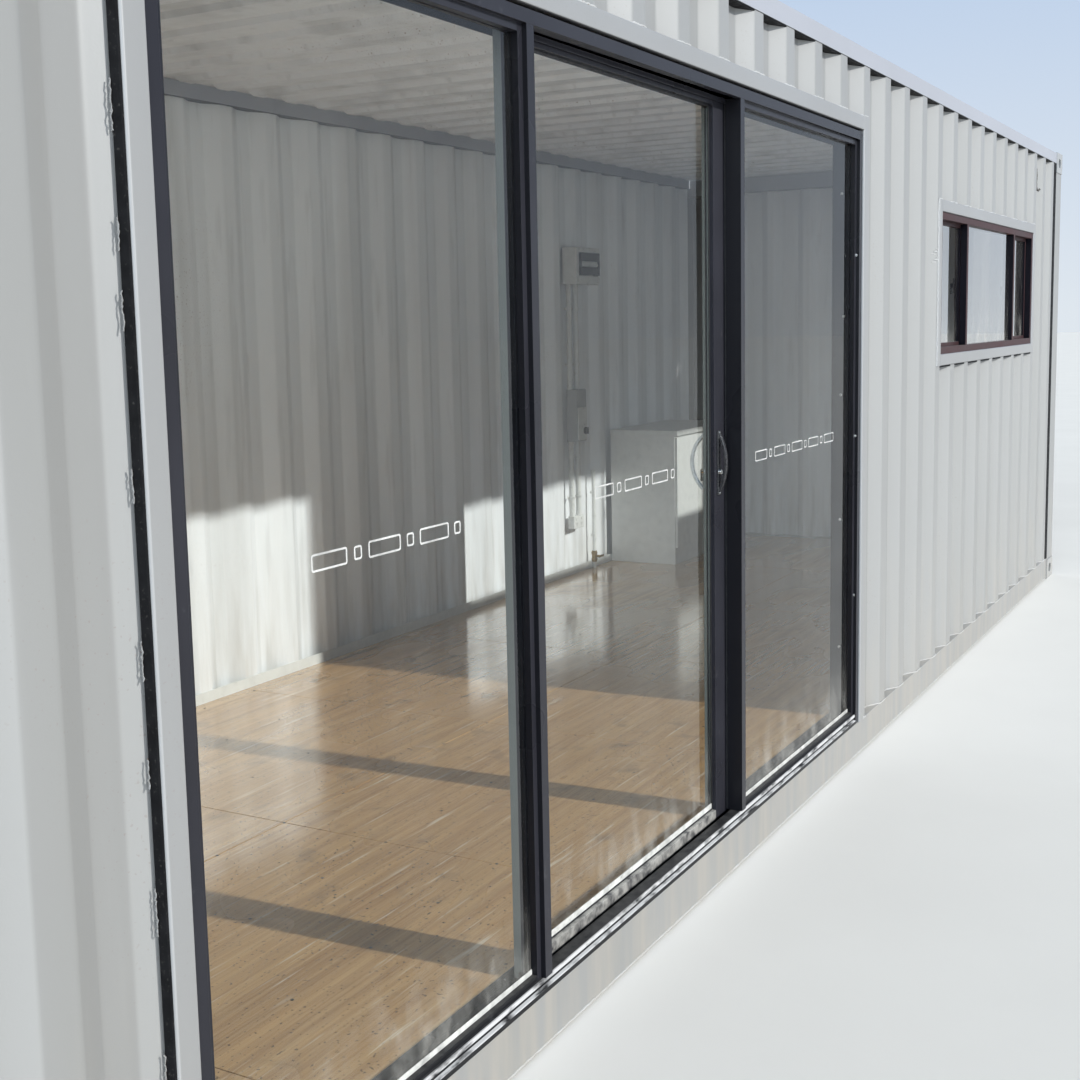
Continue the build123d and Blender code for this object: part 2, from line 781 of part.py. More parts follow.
# Cargo doors at the left end: two leaves of pressed sheet in a tube frame, with their lock rods
leaf_low = floor_top + cargo_gap
leaf_high = header_low - cargo_gap
leaf_span = half_width - casting_width - 1.5 * cargo_gap
leaf_outer = -(half_length - post_inset - lock_rod_size - rod_handle_sheet)
panel_foot = leaf_low + cargo_frame - 1
panel_head = leaf_high - cargo_frame + 1
rib_pitch = (panel_head - panel_foot) / cargo_rib_count
first_rib = panel_foot + cargo_rib_flat / 2
rib_line = corrugation_line(
    panel_foot, panel_head, first_rib, rib_pitch, cargo_rib_slope, cargo_rib_flat, cargo_rib_depth
)
rib_outside = [(leaf_outer + cargo_rib_inset + inwards, z) for z, inwards in rib_line]
rib_inside = [(x + cargo_sheet, z) for x, z in rib_outside]
for side_name, sy in (("front", -1), ("back", 1)):
    near = sy * cargo_gap / 2
    far = sy * (cargo_gap / 2 + leaf_span)
    with BuildPart() as leaf:
        with BuildSketch(Plane.YZ.offset(leaf_outer)):
            with Locations(((near + far) / 2, (leaf_low + leaf_high) / 2)):
                Rectangle(leaf_span, leaf_high - leaf_low)
                Rectangle(
                    leaf_span - 2 * cargo_frame, leaf_high - leaf_low - 2 * cargo_frame, mode=Mode.SUBTRACT
                )
        extrude(amount=cargo_frame)
        panel_side = max(near, far) - cargo_frame + 1
        with BuildSketch(Plane.XZ.offset(-panel_side)):
            with BuildLine():
                Polyline(*(rib_outside + rib_inside[::-1]), close=True)
            make_face()
        extrude(amount=leaf_span - 2 * cargo_frame + 2)
        post_side = sy * (half_width - casting_width - seat_gap)
        with BuildSketch(Plane.XY.offset((leaf_low + leaf_high - hinge_height) / 2)):
            with Locations((leaf_outer - hinge_blade / 2, post_side - sy * hinge_reach / 2)):
                Rectangle(hinge_blade, hinge_reach)
            with Locations((leaf_outer - hinge_blade, post_side - sy * cargo_gap)):
                Circle(cargo_gap)
        hinge_pitch = (leaf_high - leaf_low) / hinge_count
        hinge_places = [(index - (hinge_count - 1) / 2) * hinge_pitch for index in range(hinge_count)]
        with Locations([(0, 0, place) for place in hinge_places]):
            extrude(amount=hinge_height)
    save(leaf, f"cargo_door_{side_name}")

with BuildPart() as rods:
    for sy in (-1, 1):
        for share in (0.3, 0.72):
            y = sy * (cargo_gap / 2 + leaf_span * share)
            with BuildSketch(Plane((leaf_outer - lock_rod_size / 2, y, leaf_low))):
                Circle(lock_rod_size / 2)
            extrude(amount=leaf_high - leaf_low)
            with Locations(
                (
                    leaf_outer - lock_rod_size - rod_handle_sheet / 2 + 3,
                    y + sy * (lock_rod_size - rod_handle_length) / 2,
                    rod_handle_height,
                )
            ):
                Box(rod_handle_sheet, rod_handle_length, rod_handle_width)
save(rods, "cargo_lock_rods")
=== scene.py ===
import itertools
import math

import bmesh
import bpy
from mathutils import Matrix, Vector


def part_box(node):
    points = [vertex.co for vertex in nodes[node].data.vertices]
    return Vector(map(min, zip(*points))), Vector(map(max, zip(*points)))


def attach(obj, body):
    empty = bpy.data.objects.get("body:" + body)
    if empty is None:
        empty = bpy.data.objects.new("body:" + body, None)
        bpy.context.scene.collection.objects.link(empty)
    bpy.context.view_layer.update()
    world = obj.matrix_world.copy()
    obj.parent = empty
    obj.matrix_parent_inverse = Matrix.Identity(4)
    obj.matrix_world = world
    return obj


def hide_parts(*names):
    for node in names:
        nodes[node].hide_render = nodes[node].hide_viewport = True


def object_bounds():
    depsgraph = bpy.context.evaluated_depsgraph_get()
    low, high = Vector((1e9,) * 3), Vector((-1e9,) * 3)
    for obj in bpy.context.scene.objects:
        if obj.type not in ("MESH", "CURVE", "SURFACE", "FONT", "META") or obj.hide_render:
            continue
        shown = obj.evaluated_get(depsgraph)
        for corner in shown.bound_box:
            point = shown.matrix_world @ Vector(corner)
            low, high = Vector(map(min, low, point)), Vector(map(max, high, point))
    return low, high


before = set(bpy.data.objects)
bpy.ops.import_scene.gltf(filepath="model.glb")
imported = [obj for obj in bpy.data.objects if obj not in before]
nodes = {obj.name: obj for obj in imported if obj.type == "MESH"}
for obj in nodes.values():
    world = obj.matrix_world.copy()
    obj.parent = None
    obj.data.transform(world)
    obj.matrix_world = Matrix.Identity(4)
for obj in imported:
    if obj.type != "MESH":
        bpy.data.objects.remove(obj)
cad_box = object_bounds()
bpy.context.scene.view_settings.view_transform = "Standard"

# Corner castings and corner posts
# The castings are cast steel blocks with holes for lifting gear. The posts are folded from thick
# plate and welded between them. Both carry the same sprayed grey paint as the rest of the body.


def fill(node, inputs):
    """Sets a node's inputs, or links them where another node's output is given."""
    for name, value in inputs.items():
        if isinstance(value, bpy.types.NodeSocket):
            node.id_data.links.new(value, node.inputs[name])
        else:
            node.inputs[name].default_value = value


def layer(tree, kind, inputs=None, out=0, **settings):
    """Adds one node to a finish or a tree, and gives one of its outputs."""
    node = tree.nodes.new(kind)
    for name, value in settings.items():
        setattr(node, name, value)
    fill(node, inputs or {})
    return node.outputs[out]


def maths(operation, first, second=0.0):
    return layer(first.id_data, "ShaderNodeMath", {0: first, 1: second}, operation=operation)


def times(first, second):
    return maths("MULTIPLY", first, second)


def between(value, start, end, low=0.0, high=1.0):
    """Stretches a value so that start gives low and end gives high."""
    inputs = {"Value": value, "From Min": start, "From Max": end, "To Min": low, "To Max": high}
    return layer(value.id_data, "ShaderNodeMapRange", inputs)


def axis(vector, letter):
    return layer(vector.id_data, "ShaderNodeSeparateXYZ", {"Vector": vector}, letter)


def looks(shader, letter):
    """How far a face looks along one axis."""
    return axis(layer(shader.id_data, "ShaderNodeNewGeometry", out="Normal"), letter)


def blend_colours(share, below, above):
    """Mixes two colours by a share from 0 to 1."""
    below, above = (c if isinstance(c, bpy.types.NodeSocket) else (*c, 1.0) for c in (below, above))
    return layer(share.id_data, "ShaderNodeMix", {0: share, 6: below, 7: above}, 2, data_type="RGBA")


def toned(tone, colour, darkest, palest):
    """A colour that a pattern makes darker and paler by these factors."""
    return blend_colours(tone, [c * darkest for c in colour], [min(1.0, c * palest) for c in colour])


def coated(colour, *coats):
    """Lays coats over a colour, each with its pattern, its strength and its own colour."""
    for pattern, strength, over in coats:
        colour = blend_colours(times(pattern, strength), colour, over)
    return colour


def cloudy(place, size, detail, stretch=(1.0, 1.0, 1.0), rough=0.55):
    """A soft random pattern whose blotches are about size metres across."""
    mapped = layer(place.id_data, "ShaderNodeMapping", {"Vector": place, "Scale": stretch})
    inputs = {"Vector": mapped, "Scale": 1.0 / size, "Detail": detail, "Roughness": rough}
    return layer(place.id_data, "ShaderNodeTexNoise", inputs)


def patches(place, size, detail, low=0.0, high=1.0):
    """Plain clouds, stretched to run from low to high."""
    return between(cloudy(place, size, detail), 0.3, 0.7, low, high)


def relief(height, depth, below=None):
    """Bumps of about depth metres, laid over what the socket below already gives."""
    inputs = {"Height": height, "Distance": depth, "Strength": 1.0}
    if below is not None:
        inputs["Normal"] = below
    return layer(height.id_data, "ShaderNodeBump", inputs)


def new_finish(name):
    """A new material, its shader and the place on the object."""
    material = bpy.data.materials.new(name)
    material.use_nodes = True
    place = layer(material.node_tree, "ShaderNodeTexCoord", out="Object")
    return material, material.node_tree.nodes["Principled BSDF"], place


def steel_paint(
    name, colour, inside=None, facing=None, limit=0.0, grime=0.5, rust=0.3, rough=0.46, grain=0.0, painted_sheen=0.0
):
    """Sprayed paint on steel: soft tone changes, rain streaks, dust low down and a few rust specks.
    inside is the colour on faces that turn away from facing, an axis and a sign, past the limit: the lining's own
    paint on the walls, painted shade under the tubes.
    The last argument is how much paler the paint is painted on faces that look to the left: a painted sheen,
    standing for the light that those faces catch."""
    material, shader, place = new_finish(name)
    tone = patches(place, 1.1, 1.0)
    painted = toned(tone, colour, 0.95, 1.03)
    if inside is not None:
        letter, sign = facing
        outer = between(looks(shader, letter), sign * (limit - 0.02), sign * (limit + 0.02))
        painted = blend_colours(outer, toned(tone, inside, 0.96, 1.0), painted)
    # Faces that look to the left are painted paler here: a painted sheen.
    if painted_sheen > 0.0:
        sheen_colour = toned(tone, [c * (1.0 + painted_sheen) for c in colour], 1.0, 1.06)
        painted = blend_colours(between(looks(shader, "X"), -0.15, -0.40), painted, sheen_colour)
    streaks = between(cloudy(place, 0.22, 2.0, (1.0, 1.0, 0.06)), 0.50, 0.74)
    stained = (colour[0] * 0.78, colour[1] * 0.77, colour[2] * 0.70)
    spots = cloudy(place, 0.05, 2.0, (1.0, 1.0, 0.12))
    chalky = [min(1.0, c * 1.22) for c in colour]
    dusty = times(between(axis(place, "Z"), 0.75, 0.05), between(spots, 0.35, 0.65))
    specks = between(cloudy(place, 0.006, 0.0), 0.74, 0.80)
    rusty = times(specks, between(tone, 0.55, 0.90))
    waves = relief(cloudy(place, 0.55, 0.0), 0.0035)
    fill(shader, {
        "Base Color": coated(
            painted, (streaks, 0.26 * grime, stained), (between(spots, 0.58, 0.80), 0.30 * grime, chalky),
            (dusty, 0.55 * grime, (0.42, 0.38, 0.32)), (rusty, rust, (0.19, 0.085, 0.040)),
        ),
        "Roughness": between(tone, 0.0, 1.0, rough + 0.06, rough - 0.05),
        "Specular IOR Level": 0.6, "Coat Weight": 0.45, "Coat Roughness": 0.38,
        "Normal": relief(cloudy(place, 0.0035, 0.0), 0.00008 + grain, waves),
    })
    return material


def dress(mesh, material):
    mesh.materials.clear()
    mesh.materials.append(material)


def add_piece(name, mesh, edge, material, slot=None, body="cabin", segments=2, angle=28.0, node=None):
    """Adds a piece, rounds its sharp edges to edge metres, gives it its finish and puts it on its body."""
    piece = bpy.data.objects.new(name, mesh)
    bpy.context.scene.collection.objects.link(piece)
    for polygon in mesh.polygons:
        polygon.use_smooth = True
    if edge > 0.0:
        bevel = piece.modifiers.new("edges", "BEVEL")
        bevel.width = edge
        bevel.segments = segments
        bevel.limit_method = "ANGLE"
        bevel.angle_limit = math.radians(angle)
        bevel.harden_normals = True
        bevel.use_clamp_overlap = True
        settled = bpy.context.evaluated_depsgraph_get()
        rounded = bpy.data.meshes.new_from_object(piece.evaluated_get(settled))
        piece.modifiers.clear()
        piece.data = rounded
    else:
        mesh.set_sharp_from_angle(angle=math.radians(angle))
    dress(piece.data, material)
    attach(piece, body)
    if node is not None:
        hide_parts(node)


def finished_copy(node, name, edge, material, **settings):
    """Adds a clean copy of a CAD node in its own finish."""
    mesh = nodes[node].data.copy()
    mesh.attributes.remove(mesh.attributes["custom_normal"])
    shell = bmesh.new()
    shell.from_mesh(mesh)
    bmesh.ops.remove_doubles(shell, verts=shell.verts, dist=2e-5)
    bmesh.ops.dissolve_limit(shell, angle_limit=math.radians(0.6), verts=shell.verts, edges=shell.edges)
    shell.to_mesh(mesh)
    shell.free()
    add_piece(name, mesh, edge, material, node=node, **settings)


grey = (0.302, 0.302, 0.296)
casting_paint = steel_paint("casting_paint", (0.37, 0.375, 0.375), grime=1.0, rust=0.9, grain=0.0006)
post_paint = steel_paint("post_paint", grey, grime=0.7, rust=0.5)
finished_copy("corner_castings", "cast_corner_blocks", 0.004, casting_paint, segments=3, slot="wall_paint")
finished_copy("corner_posts", "folded_corner_posts", 0.005, post_paint, segments=3, slot="wall_paint")

# Side rails and end rails
# Steel channels along the floor, square tubes under the roof and box sections across the ends.
# They are welded into the frame that carries the walls, and painted with them.
rail_paint = steel_paint("rail_paint", grey, grime=0.9, rust=0.5)
# The undersides of the tubes get hardly any light, and look nearly black.
unlit_below = {"inside": (0.020, 0.021, 0.026), "facing": ("Z", 1), "limit": -0.6}
# The top tubes and end headers are painted a paler, bluer grey than the walls: a painted reflection of the sky.
top_rail_paint = steel_paint("top_rail_paint", (0.39, 0.40, 0.44), grime=0.4, rust=0.2, **unlit_below)
for node, name, edge, material in (
    ("bottom_side_rails", "bottom_channels", 0.004, rail_paint),
    ("top_side_rails", "top_tubes", 0.006, top_rail_paint),
    ("end_sills", "end_sill_boxes", 0.005, rail_paint),
    ("end_headers", "end_header_boxes", 0.005, top_rail_paint),
):
    finished_copy(node, name, edge, material, slot="wall_paint")

# Floor frame and plywood floor
# Pressed channels carry thick plywood sheets, which are screwed down and varnished. The boards
# are scratched and dull where people walk, and their joints have filled with dirt.
underside = steel_paint("underside_coat", (0.035, 0.033, 0.032), grime=0.8, rust=0.8, rough=0.75, grain=0.0004)
dress(nodes["floor_cross_members"].data, underside)
varnish, shader, place = new_finish("plywood_varnish")
grain = between(cloudy(place, 0.030, 3.0, (0.035, 1.0, 1.0), 0.65), 0.32, 0.68)
tints = between(cloudy(place, 0.45, 1.0, (0.35, 1.6, 1.0)), 0.3, 0.7)
fibres = between(cloudy(place, 0.006, 1.0, (0.02, 1.0, 1.0)), 0.3, 0.7)
scuffs = between(cloudy(place, 0.014, 2.0, (0.04, 1.0, 1.0)), 0.63, 0.74)
specks = between(cloudy(place, 0.010, 1.0), 0.66, 0.72)
stains = between(cloudy(place, 0.13, 2.0), 0.60, 0.76)
fill(shader, {
    "Base Color": coated(
        blend_colours(grain, (0.350, 0.180, 0.070), (0.640, 0.385, 0.165)),
        (tints, 0.45, (0.480, 0.260, 0.110)), (fibres, 0.32, (0.76, 0.54, 0.29)), (scuffs, 0.75, (0.82, 0.70, 0.55)),
        (specks, 0.75, (0.055, 0.036, 0.025)), (stains, 0.50, (0.120, 0.080, 0.055)),
    ),
    "Roughness": between(cloudy(place, 0.30, 1.0, (0.5, 1.0, 1.0)), 0.35, 0.65, 0.10, 0.42),
    "Specular IOR Level": 0.4, "Coat Weight": 0.9, "Coat IOR": 1.8, "Coat Roughness": 0.13,
    "Normal": relief(cloudy(place, 0.012, 1.0, (0.05, 1.0, 1.0)), 0.00025),
})
finished_copy("plywood_floor", "plywood_boards", 0.0012, varnish, segments=1, slot="plywood")

# Floor screws
# Each board is held to the channels under it by rows of countersunk steel screws, worn dark and
# filled with dirt.


def growing_tree(name, **sizes):
    """A Geometry Nodes tree that starts from a mesh, with the names of its other inputs by kind."""
    tree = bpy.data.node_groups.new(name, "GeometryNodeTree")
    tree.interface.new_socket("Geometry", in_out="OUTPUT", socket_type="NodeSocketGeometry")
    for kind, labels in {"Geometry": ["Geometry"], **sizes, "Material": ["Finish"]}.items():
        for label in labels:
            tree.interface.new_socket(label, in_out="INPUT", socket_type="NodeSocket" + kind)
    return tree, tree.nodes.new("NodeGroupInput").outputs


def joined(first, second):
    both = layer(first.id_data, "GeometryNodeJoinGeometry", {"Geometry": first})
    first.id_data.links.new(second, both.node.inputs[0])
    return both


def turned_by(angle):
    """A turn about the upright axis."""
    euler = layer(angle.id_data, "ShaderNodeCombineXYZ", {"Z": angle})
    return layer(angle.id_data, "FunctionNodeEulerToRotation", {"Euler": euler})


def end_tree(tree, grown, finish):
    """Makes what grew real and gives it its finish."""
    real = layer(tree, "GeometryNodeRealizeInstances", {"Geometry": grown})
    finished = layer(tree, "GeometryNodeSetMaterial", {"Geometry": real, "Material": finish})
    tree.links.new(finished, tree.nodes.new("NodeGroupOutput").inputs[0])


def grow(name, tree, finish, values, points=(), lines=(), **settings):
    """Runs a tree on points or on lines of points, and adds the plain mesh that it gives."""
    places = [Vector(point) for point in points]
    edges = []
    for line in lines:
        edges += [(len(places) + index, len(places) + index + 1) for index in range(len(line) - 1)]
        places += [Vector(point) for point in line]
    mesh = bpy.data.meshes.new(name + "_path")
    mesh.from_pydata(places, edges, [])
    seed = bpy.data.objects.new(name + "_path", mesh)
    bpy.context.scene.collection.objects.link(seed)
    modifier = seed.modifiers.new("grow", "NODES")
    modifier.node_group = tree
    values = dict(values, Finish=finish)
    for item in tree.interface.items_tree:
        if item.in_out == "INPUT" and item.name in values:
            modifier[item.identifier] = values[item.name]
    grown = bpy.data.meshes.new_from_object(seed.evaluated_get(bpy.context.evaluated_depsgraph_get()))
    seed.modifiers.clear()
    bpy.data.objects.remove(seed)
    add_piece(name, grown, 0.0, finish, angle=40.0, **settings)


def worn_metal(name, colour, rough=0.35, dirt=0.5, metallic=0.9):
    """Bare or plated metal, dulled unevenly, with dirt in patches."""
    material, shader, place = new_finish(name)
    metal = toned(patches(place, 0.02, 5.0), colour, 0.85, 1.1)
    grime = between(cloudy(place, 0.012, 6.0), 0.50, 0.70)
    fill(shader, {
        "Base Color": coated(metal, (grime, dirt, [c * 0.35 for c in colour])), "Metallic": metallic,
        "Roughness": patches(place, 0.010, 5.0, rough - 0.08, rough + 0.15),
        "Normal": relief(cloudy(place, 0.0015, 3.0), 0.00006),
    })
    return material


def evenly(start, end, count):
    return [start + (end - start) * index / (count - 1) for index in range(count)]


stud_tree, given = growing_tree(
    "studs_on_points", Float=("Radius", "Height"), Vector=("Direction",), Int=("Seed",)
)
flange = layer(stud_tree, "GeometryNodeMeshCylinder", {
    "Vertices": 12, "Radius": given["Radius"], "Depth": given["Height"],
})
crown = layer(stud_tree, "GeometryNodeMeshCylinder", {
    "Vertices": 6, "Radius": times(given["Radius"], 0.62), "Depth": times(given["Height"], 1.8),
})
spin = layer(stud_tree, "FunctionNodeRandomValue", {3: 6.283, "Seed": given["Seed"]}, 1)
studs = layer(stud_tree, "GeometryNodeInstanceOnPoints", {
    "Points": layer(stud_tree, "GeometryNodeMeshToPoints", {"Mesh": given["Geometry"]}),
    "Instance": joined(flange, crown),
    "Rotation": layer(stud_tree, "FunctionNodeAlignRotationToVector", {
        "Rotation": turned_by(spin), "Vector": given["Direction"],
    }, axis="Z"),
})
end_tree(stud_tree, studs, given["Finish"])

dark_screws = worn_metal("dark_screw_steel", (0.10, 0.095, 0.09), rough=0.45)
floor_low, floor_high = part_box("plywood_floor")
member_low, member_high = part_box("floor_cross_members")
half_member, board_margin = 0.0225, 0.05
screw_rows, screws_in_row = 39, 7
grow(
    "floor_screws", stud_tree, dark_screws,
    {"Radius": 0.0048, "Height": 0.0006, "Direction": (0.0, 0.0, 1.0), "Seed": 3},
    points=[
        (x, y, floor_high[2]) for x in evenly(member_low[0] + half_member, member_high[0] - half_member, screw_rows)
        for y in evenly(floor_low[1] + board_margin, floor_high[1] - board_margin, screws_in_row)
    ],
)

# Corrugated walls
# Weathering steel sheet, pressed into trapezoid ribs with soft bends, cut to length and welded to
# the rails, posts and tubes. It is grey outside and off-white inside.
lining_white = (0.90, 0.91, 0.93)
rib_pitch = 0.277
rib_slope = 0.068
rib_flat = 0.072
rib_depth = 0.036
first_rib = cad_box[1][0] - 0.247
side_ribs = {
    "Pitch": rib_pitch, "Slope": rib_slope, "Flat": rib_flat, "Depth": rib_depth, "Thickness": 0.002,
    "Step": 0.0045,
}

sheet_tree, given = growing_tree(
    "pressed_sheet", Float=("Start", "End", "Low", "High", "First", "Turn", *side_ribs), Vector=("Place",)
)
run = maths("SUBTRACT", given["End"], given["Start"])
flat_sheet = layer(sheet_tree, "GeometryNodeMeshGrid", {
    "Size X": run, "Size Y": maths("SUBTRACT", given["High"], given["Low"]),
    "Vertices X": maths("ADD", maths("DIVIDE", run, given["Step"]), 2.0), "Vertices Y": 2,
})
spot = layer(sheet_tree, "GeometryNodeInputPosition")
along = maths("ADD", axis(spot, "X"), times(maths("ADD", given["Start"], given["End"]), 0.5))
upward = maths("ADD", axis(spot, "Y"), times(maths("ADD", given["Low"], given["High"]), 0.5))
from_rib = maths("FLOORED_MODULO", maths("SUBTRACT", along, given["First"]), given["Pitch"])
far_bend = maths("SUBTRACT", given["Pitch"], given["Flat"])
inwards = between(from_rib, 0.0, given["Slope"], 0.0, given["Depth"])
outwards = between(from_rib, maths("SUBTRACT", far_bend, given["Slope"]), far_bend, given["Depth"], 0.0)
soft_ribs = layer(sheet_tree, "GeometryNodeBlurAttribute", {
    0: maths("MINIMUM", inwards, outwards), "Iterations": 1,
}, data_type="FLOAT")
outer_skin = layer(sheet_tree, "GeometryNodeSetPosition", {
    "Geometry": flat_sheet,
    "Position": layer(sheet_tree, "ShaderNodeCombineXYZ", {"X": along, "Y": soft_ribs, "Z": upward}),
})
inner_skin = layer(sheet_tree, "GeometryNodeExtrudeMesh", {
    "Mesh": layer(sheet_tree, "GeometryNodeFlipFaces", {"Mesh": outer_skin}),
    "Offset": (0.0, 1.0, 0.0), "Offset Scale": given["Thickness"], "Individual": False,
})
closed = layer(sheet_tree, "GeometryNodeMergeByDistance", {
    "Geometry": joined(inner_skin, outer_skin), "Distance": 0.0002,
})
placed = layer(sheet_tree, "GeometryNodeTransform", {
    "Geometry": closed, "Translation": given["Place"], "Rotation": turned_by(given["Turn"]),
})
end_tree(sheet_tree, placed, given["Finish"])


def add_sheet(node, name, paint, start, end, **sizes):
    """Presses one wall's sheet. Sizes that aren't given are those of the long sides."""
    low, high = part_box(node)
    values = {**side_ribs, "Start": start, "End": end, "Low": low[2], "High": high[2], **sizes}
    grow(name, sheet_tree, paint, values, node=node, slot="wall_paint")


# The wall's faces that look to the left get a painted sheen.
front_paint = steel_paint(
    "front_wall_paint", grey, inside=lining_white, facing=("Y", -1), grime=0.6, rust=0.25, painted_sheen=0.17
)
back_paint = steel_paint("back_wall_paint", grey, inside=lining_white, facing=("Y", 1), grime=0.9, rust=0.4)
for part in ("left", "over_door", "middle", "under_window", "over_window", "right"):
    low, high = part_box("front_wall_" + part)
    add_sheet(
        "front_wall_" + part, "front_sheet_" + part, front_paint, low[0], high[0], First=first_rib,
        Place=(0.0, low[1], 0.0),
    )
low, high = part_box("back_wall")
add_sheet(
    "back_wall", "back_sheet", back_paint, -high[0], -low[0], First=rib_flat - first_rib, Turn=math.pi,
    Place=(0.0, high[1], 0.0),
)

# Right end wall
# The blind end has deeper and wider ribs, between the posts, the sill and the header.
end_paint = steel_paint("end_wall_paint", grey, inside=lining_white, facing=("X", 1), grime=0.8, rust=0.4)
low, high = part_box("right_end_wall")
add_sheet(
    "right_end_wall", "right_end_sheet", end_paint, low[1], high[1], First=0.055, Pitch=0.250, Slope=0.045,
    Flat=0.110, Depth=0.045, Turn=math.pi / 2, Place=(high[0], 0.0, 0.0),
)

# Roof
# One thin sheet, welded round its edge to the rails. Troughs pressed across it stiffen it, and
# dust and rainwater stains collect in them.
roof_paint = steel_paint(
    "roof_paint", (0.38, 0.38, 0.375), inside=lining_white, facing=("Z", 1), grime=1.4, rust=0.9
)
finished_copy("roof_sheet", "roof_skin", 0.0, roof_paint, angle=25.0, slot="wall_paint")

# Steel frames round the door and the window
# Square tube with rounded edges, stitch-welded into the cut-out of the wall and sprayed with it.
# The tubes' faces that look to the left get a painted sheen, and their undersides painted shade.
frame_paint = steel_paint(
    "frame_paint", (0.298, 0.299, 0.299), grime=0.35, rust=0.15, painted_sheen=0.30, **unlit_below
)
for node, name in (
    ("door_steel_posts", "door_tube_posts"), ("door_steel_header", "door_tube_header"),
    ("window_steel_posts", "window_tube_posts"), ("window_steel_beams", "window_tube_beams"),
):
    finished_copy(node, name, 0.0, frame_paint, angle=50.0, slot="frame_paint")

# Weld beads
# The sheets are welded to the rail and to the tube frames with hand-run beads, which were painted
# over. Along the foot of a wall the bead follows its ribs, and beside a tube it is stitched.
bead_tree, given = growing_tree("bead_on_path", Float=("Radius", "Step", "Wobble"), Int=("Seed",))
path = layer(bead_tree, "GeometryNodeMeshToCurve", {"Mesh": given["Geometry"]})
even_path = layer(bead_tree, "GeometryNodeResampleCurve", {"Curve": path, "Length": given["Step"]}, mode="LENGTH")
shake = layer(bead_tree, "FunctionNodeRandomValue", {
    0: times(given["Wobble"], -1.0), 1: given["Wobble"], "Seed": given["Seed"],
}, data_type="FLOAT_VECTOR")
bead = layer(bead_tree, "GeometryNodeCurveToMesh", {
    "Curve": layer(bead_tree, "GeometryNodeSetPosition", {"Geometry": even_path, "Offset": shake}),
    "Profile Curve": layer(bead_tree, "GeometryNodeCurvePrimitiveCircle", {
        "Resolution": 7, "Radius": given["Radius"],
    }),
    "Scale": layer(bead_tree, "FunctionNodeRandomValue", {2: 0.75, 3: 1.2, "Seed": given["Seed"]}, 1),
    "Fill Caps": True,
})
end_tree(bead_tree, bead, given["Finish"])


def add_bead(name, finish, radius, step, wobble, seed, lines, slot=None):
    values = {"Radius": radius, "Step": step, "Wobble": wobble, "Seed": seed}
    grow(name, bead_tree, finish, values, lines=lines, slot=slot)


def reach(node, side):
    """Where a CAD node starts and ends: along (0), from front to back (1) or upwards (2)."""
    low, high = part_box(node)
    return low[side], high[side]


def rib_inset(x):
    """How far the side wall's outer face lies behind its flats at a place along it."""
    from_rib = (x - first_rib) % rib_pitch
    return rib_depth * max(0.0, min(1.0, from_rib / rib_slope, (rib_pitch - rib_flat - from_rib) / rib_slope))


def wall_line(start, end, z, face, stand_off, sign=1, step=0.012):
    """Points along a side wall's outer face at one height."""
    places = evenly(start, end, round((end - start) / step) + 1)
    return [(x, face + sign * (rib_inset(x) - stand_off), z) for x in places]


weld_paint = steel_paint("painted_weld", (0.56, 0.56, 0.55), grime=0.8, rust=0.9, grain=0.0008)
stitch_paint = steel_paint("dull_weld", (0.26, 0.26, 0.26), grime=1.0, rust=1.0, grain=0.0010)
front_face = reach("front_wall_left", 1)[0]
wall_foot, back_face = reach("back_wall", 2)[0], reach("back_wall", 1)[1]
tube_left, tube_right = reach("door_steel_posts", 0)
tube_front, tube_top = reach("door_steel_posts", 1)[0], reach("door_steel_header", 2)[1]
corner_left, corner_right = reach("front_wall_left", 0)[0], reach("front_wall_right", 0)[1]
surround_left, surround_right = reach("window_steel_posts", 0)
surround_low, surround_top = reach("window_steel_posts", 2)
rail_low, rail_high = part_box("bottom_side_rails")
foot_runs = (
    (corner_left, tube_left - 0.002, front_face, 1), (tube_right + 0.002, corner_right, front_face, 1),
    (corner_left, corner_right, back_face, -1),
)
add_bead("wall_foot_welds", weld_paint, 0.0030, 0.009, 0.0011, 7, [
    wall_line(start, end, wall_foot + 0.001, face, 0.002, sign) for start, end, face, sign in foot_runs
], "wall_paint")
add_bead("frame_welds", weld_paint, 0.0026, 0.007, 0.0012, 12, [
    wall_line(tube_left, tube_right, tube_top + 0.0015, front_face, 0.002),
    wall_line(surround_left, surround_right, surround_top + 0.0020, front_face, 0.0025),
] + [
    [(x + gap, front_face + rib_inset(x) - 0.001, z) for z in (surround_low, surround_top)]
    for x, gap in ((surround_left, -0.0015), (surround_right, 0.0015))
], "frame_paint")
spatter = [(2.975 + 0.012 * (index % 3), 1.865 + 0.011 * index) for index in range(6)]
add_bead("weld_spatter", weld_paint, 0.0021, 0.004, 0.0016, 31, [
    wall_line(x, x + 0.020, z, front_face, 0.001, step=0.005) for x, z in spatter
], "wall_paint")
stitches = (
    (1.959, 0.074), (1.780, 0.048), (1.672, 0.056), (1.420, 0.050), (1.160, 0.060), (0.990, 0.045),
    (0.774, 0.076), (0.520, 0.055), (0.300, 0.060),
)
stitched_edges = (
    (tube_left - 0.0108, front_face + 0.0110), (tube_left - 0.0070, front_face + 0.0150),
    (tube_right + 0.002, front_face - 0.001),
)
add_bead("tube_stitches", stitch_paint, 0.0013, 0.004, 0.0012, 12, [
    [(x, y, z - length / 2), (x, y, z + length / 2)] for z, length in stitches for x, y in stitched_edges
], "frame_paint")
add_bead("rail_foot_welds", weld_paint, 0.0024, 0.009, 0.0008, 4, [
    [(x, y, rail_low[2] + 0.0035) for x in (corner_left, corner_right)] for y in (rail_low[1], rail_high[1])
], "wall_paint")
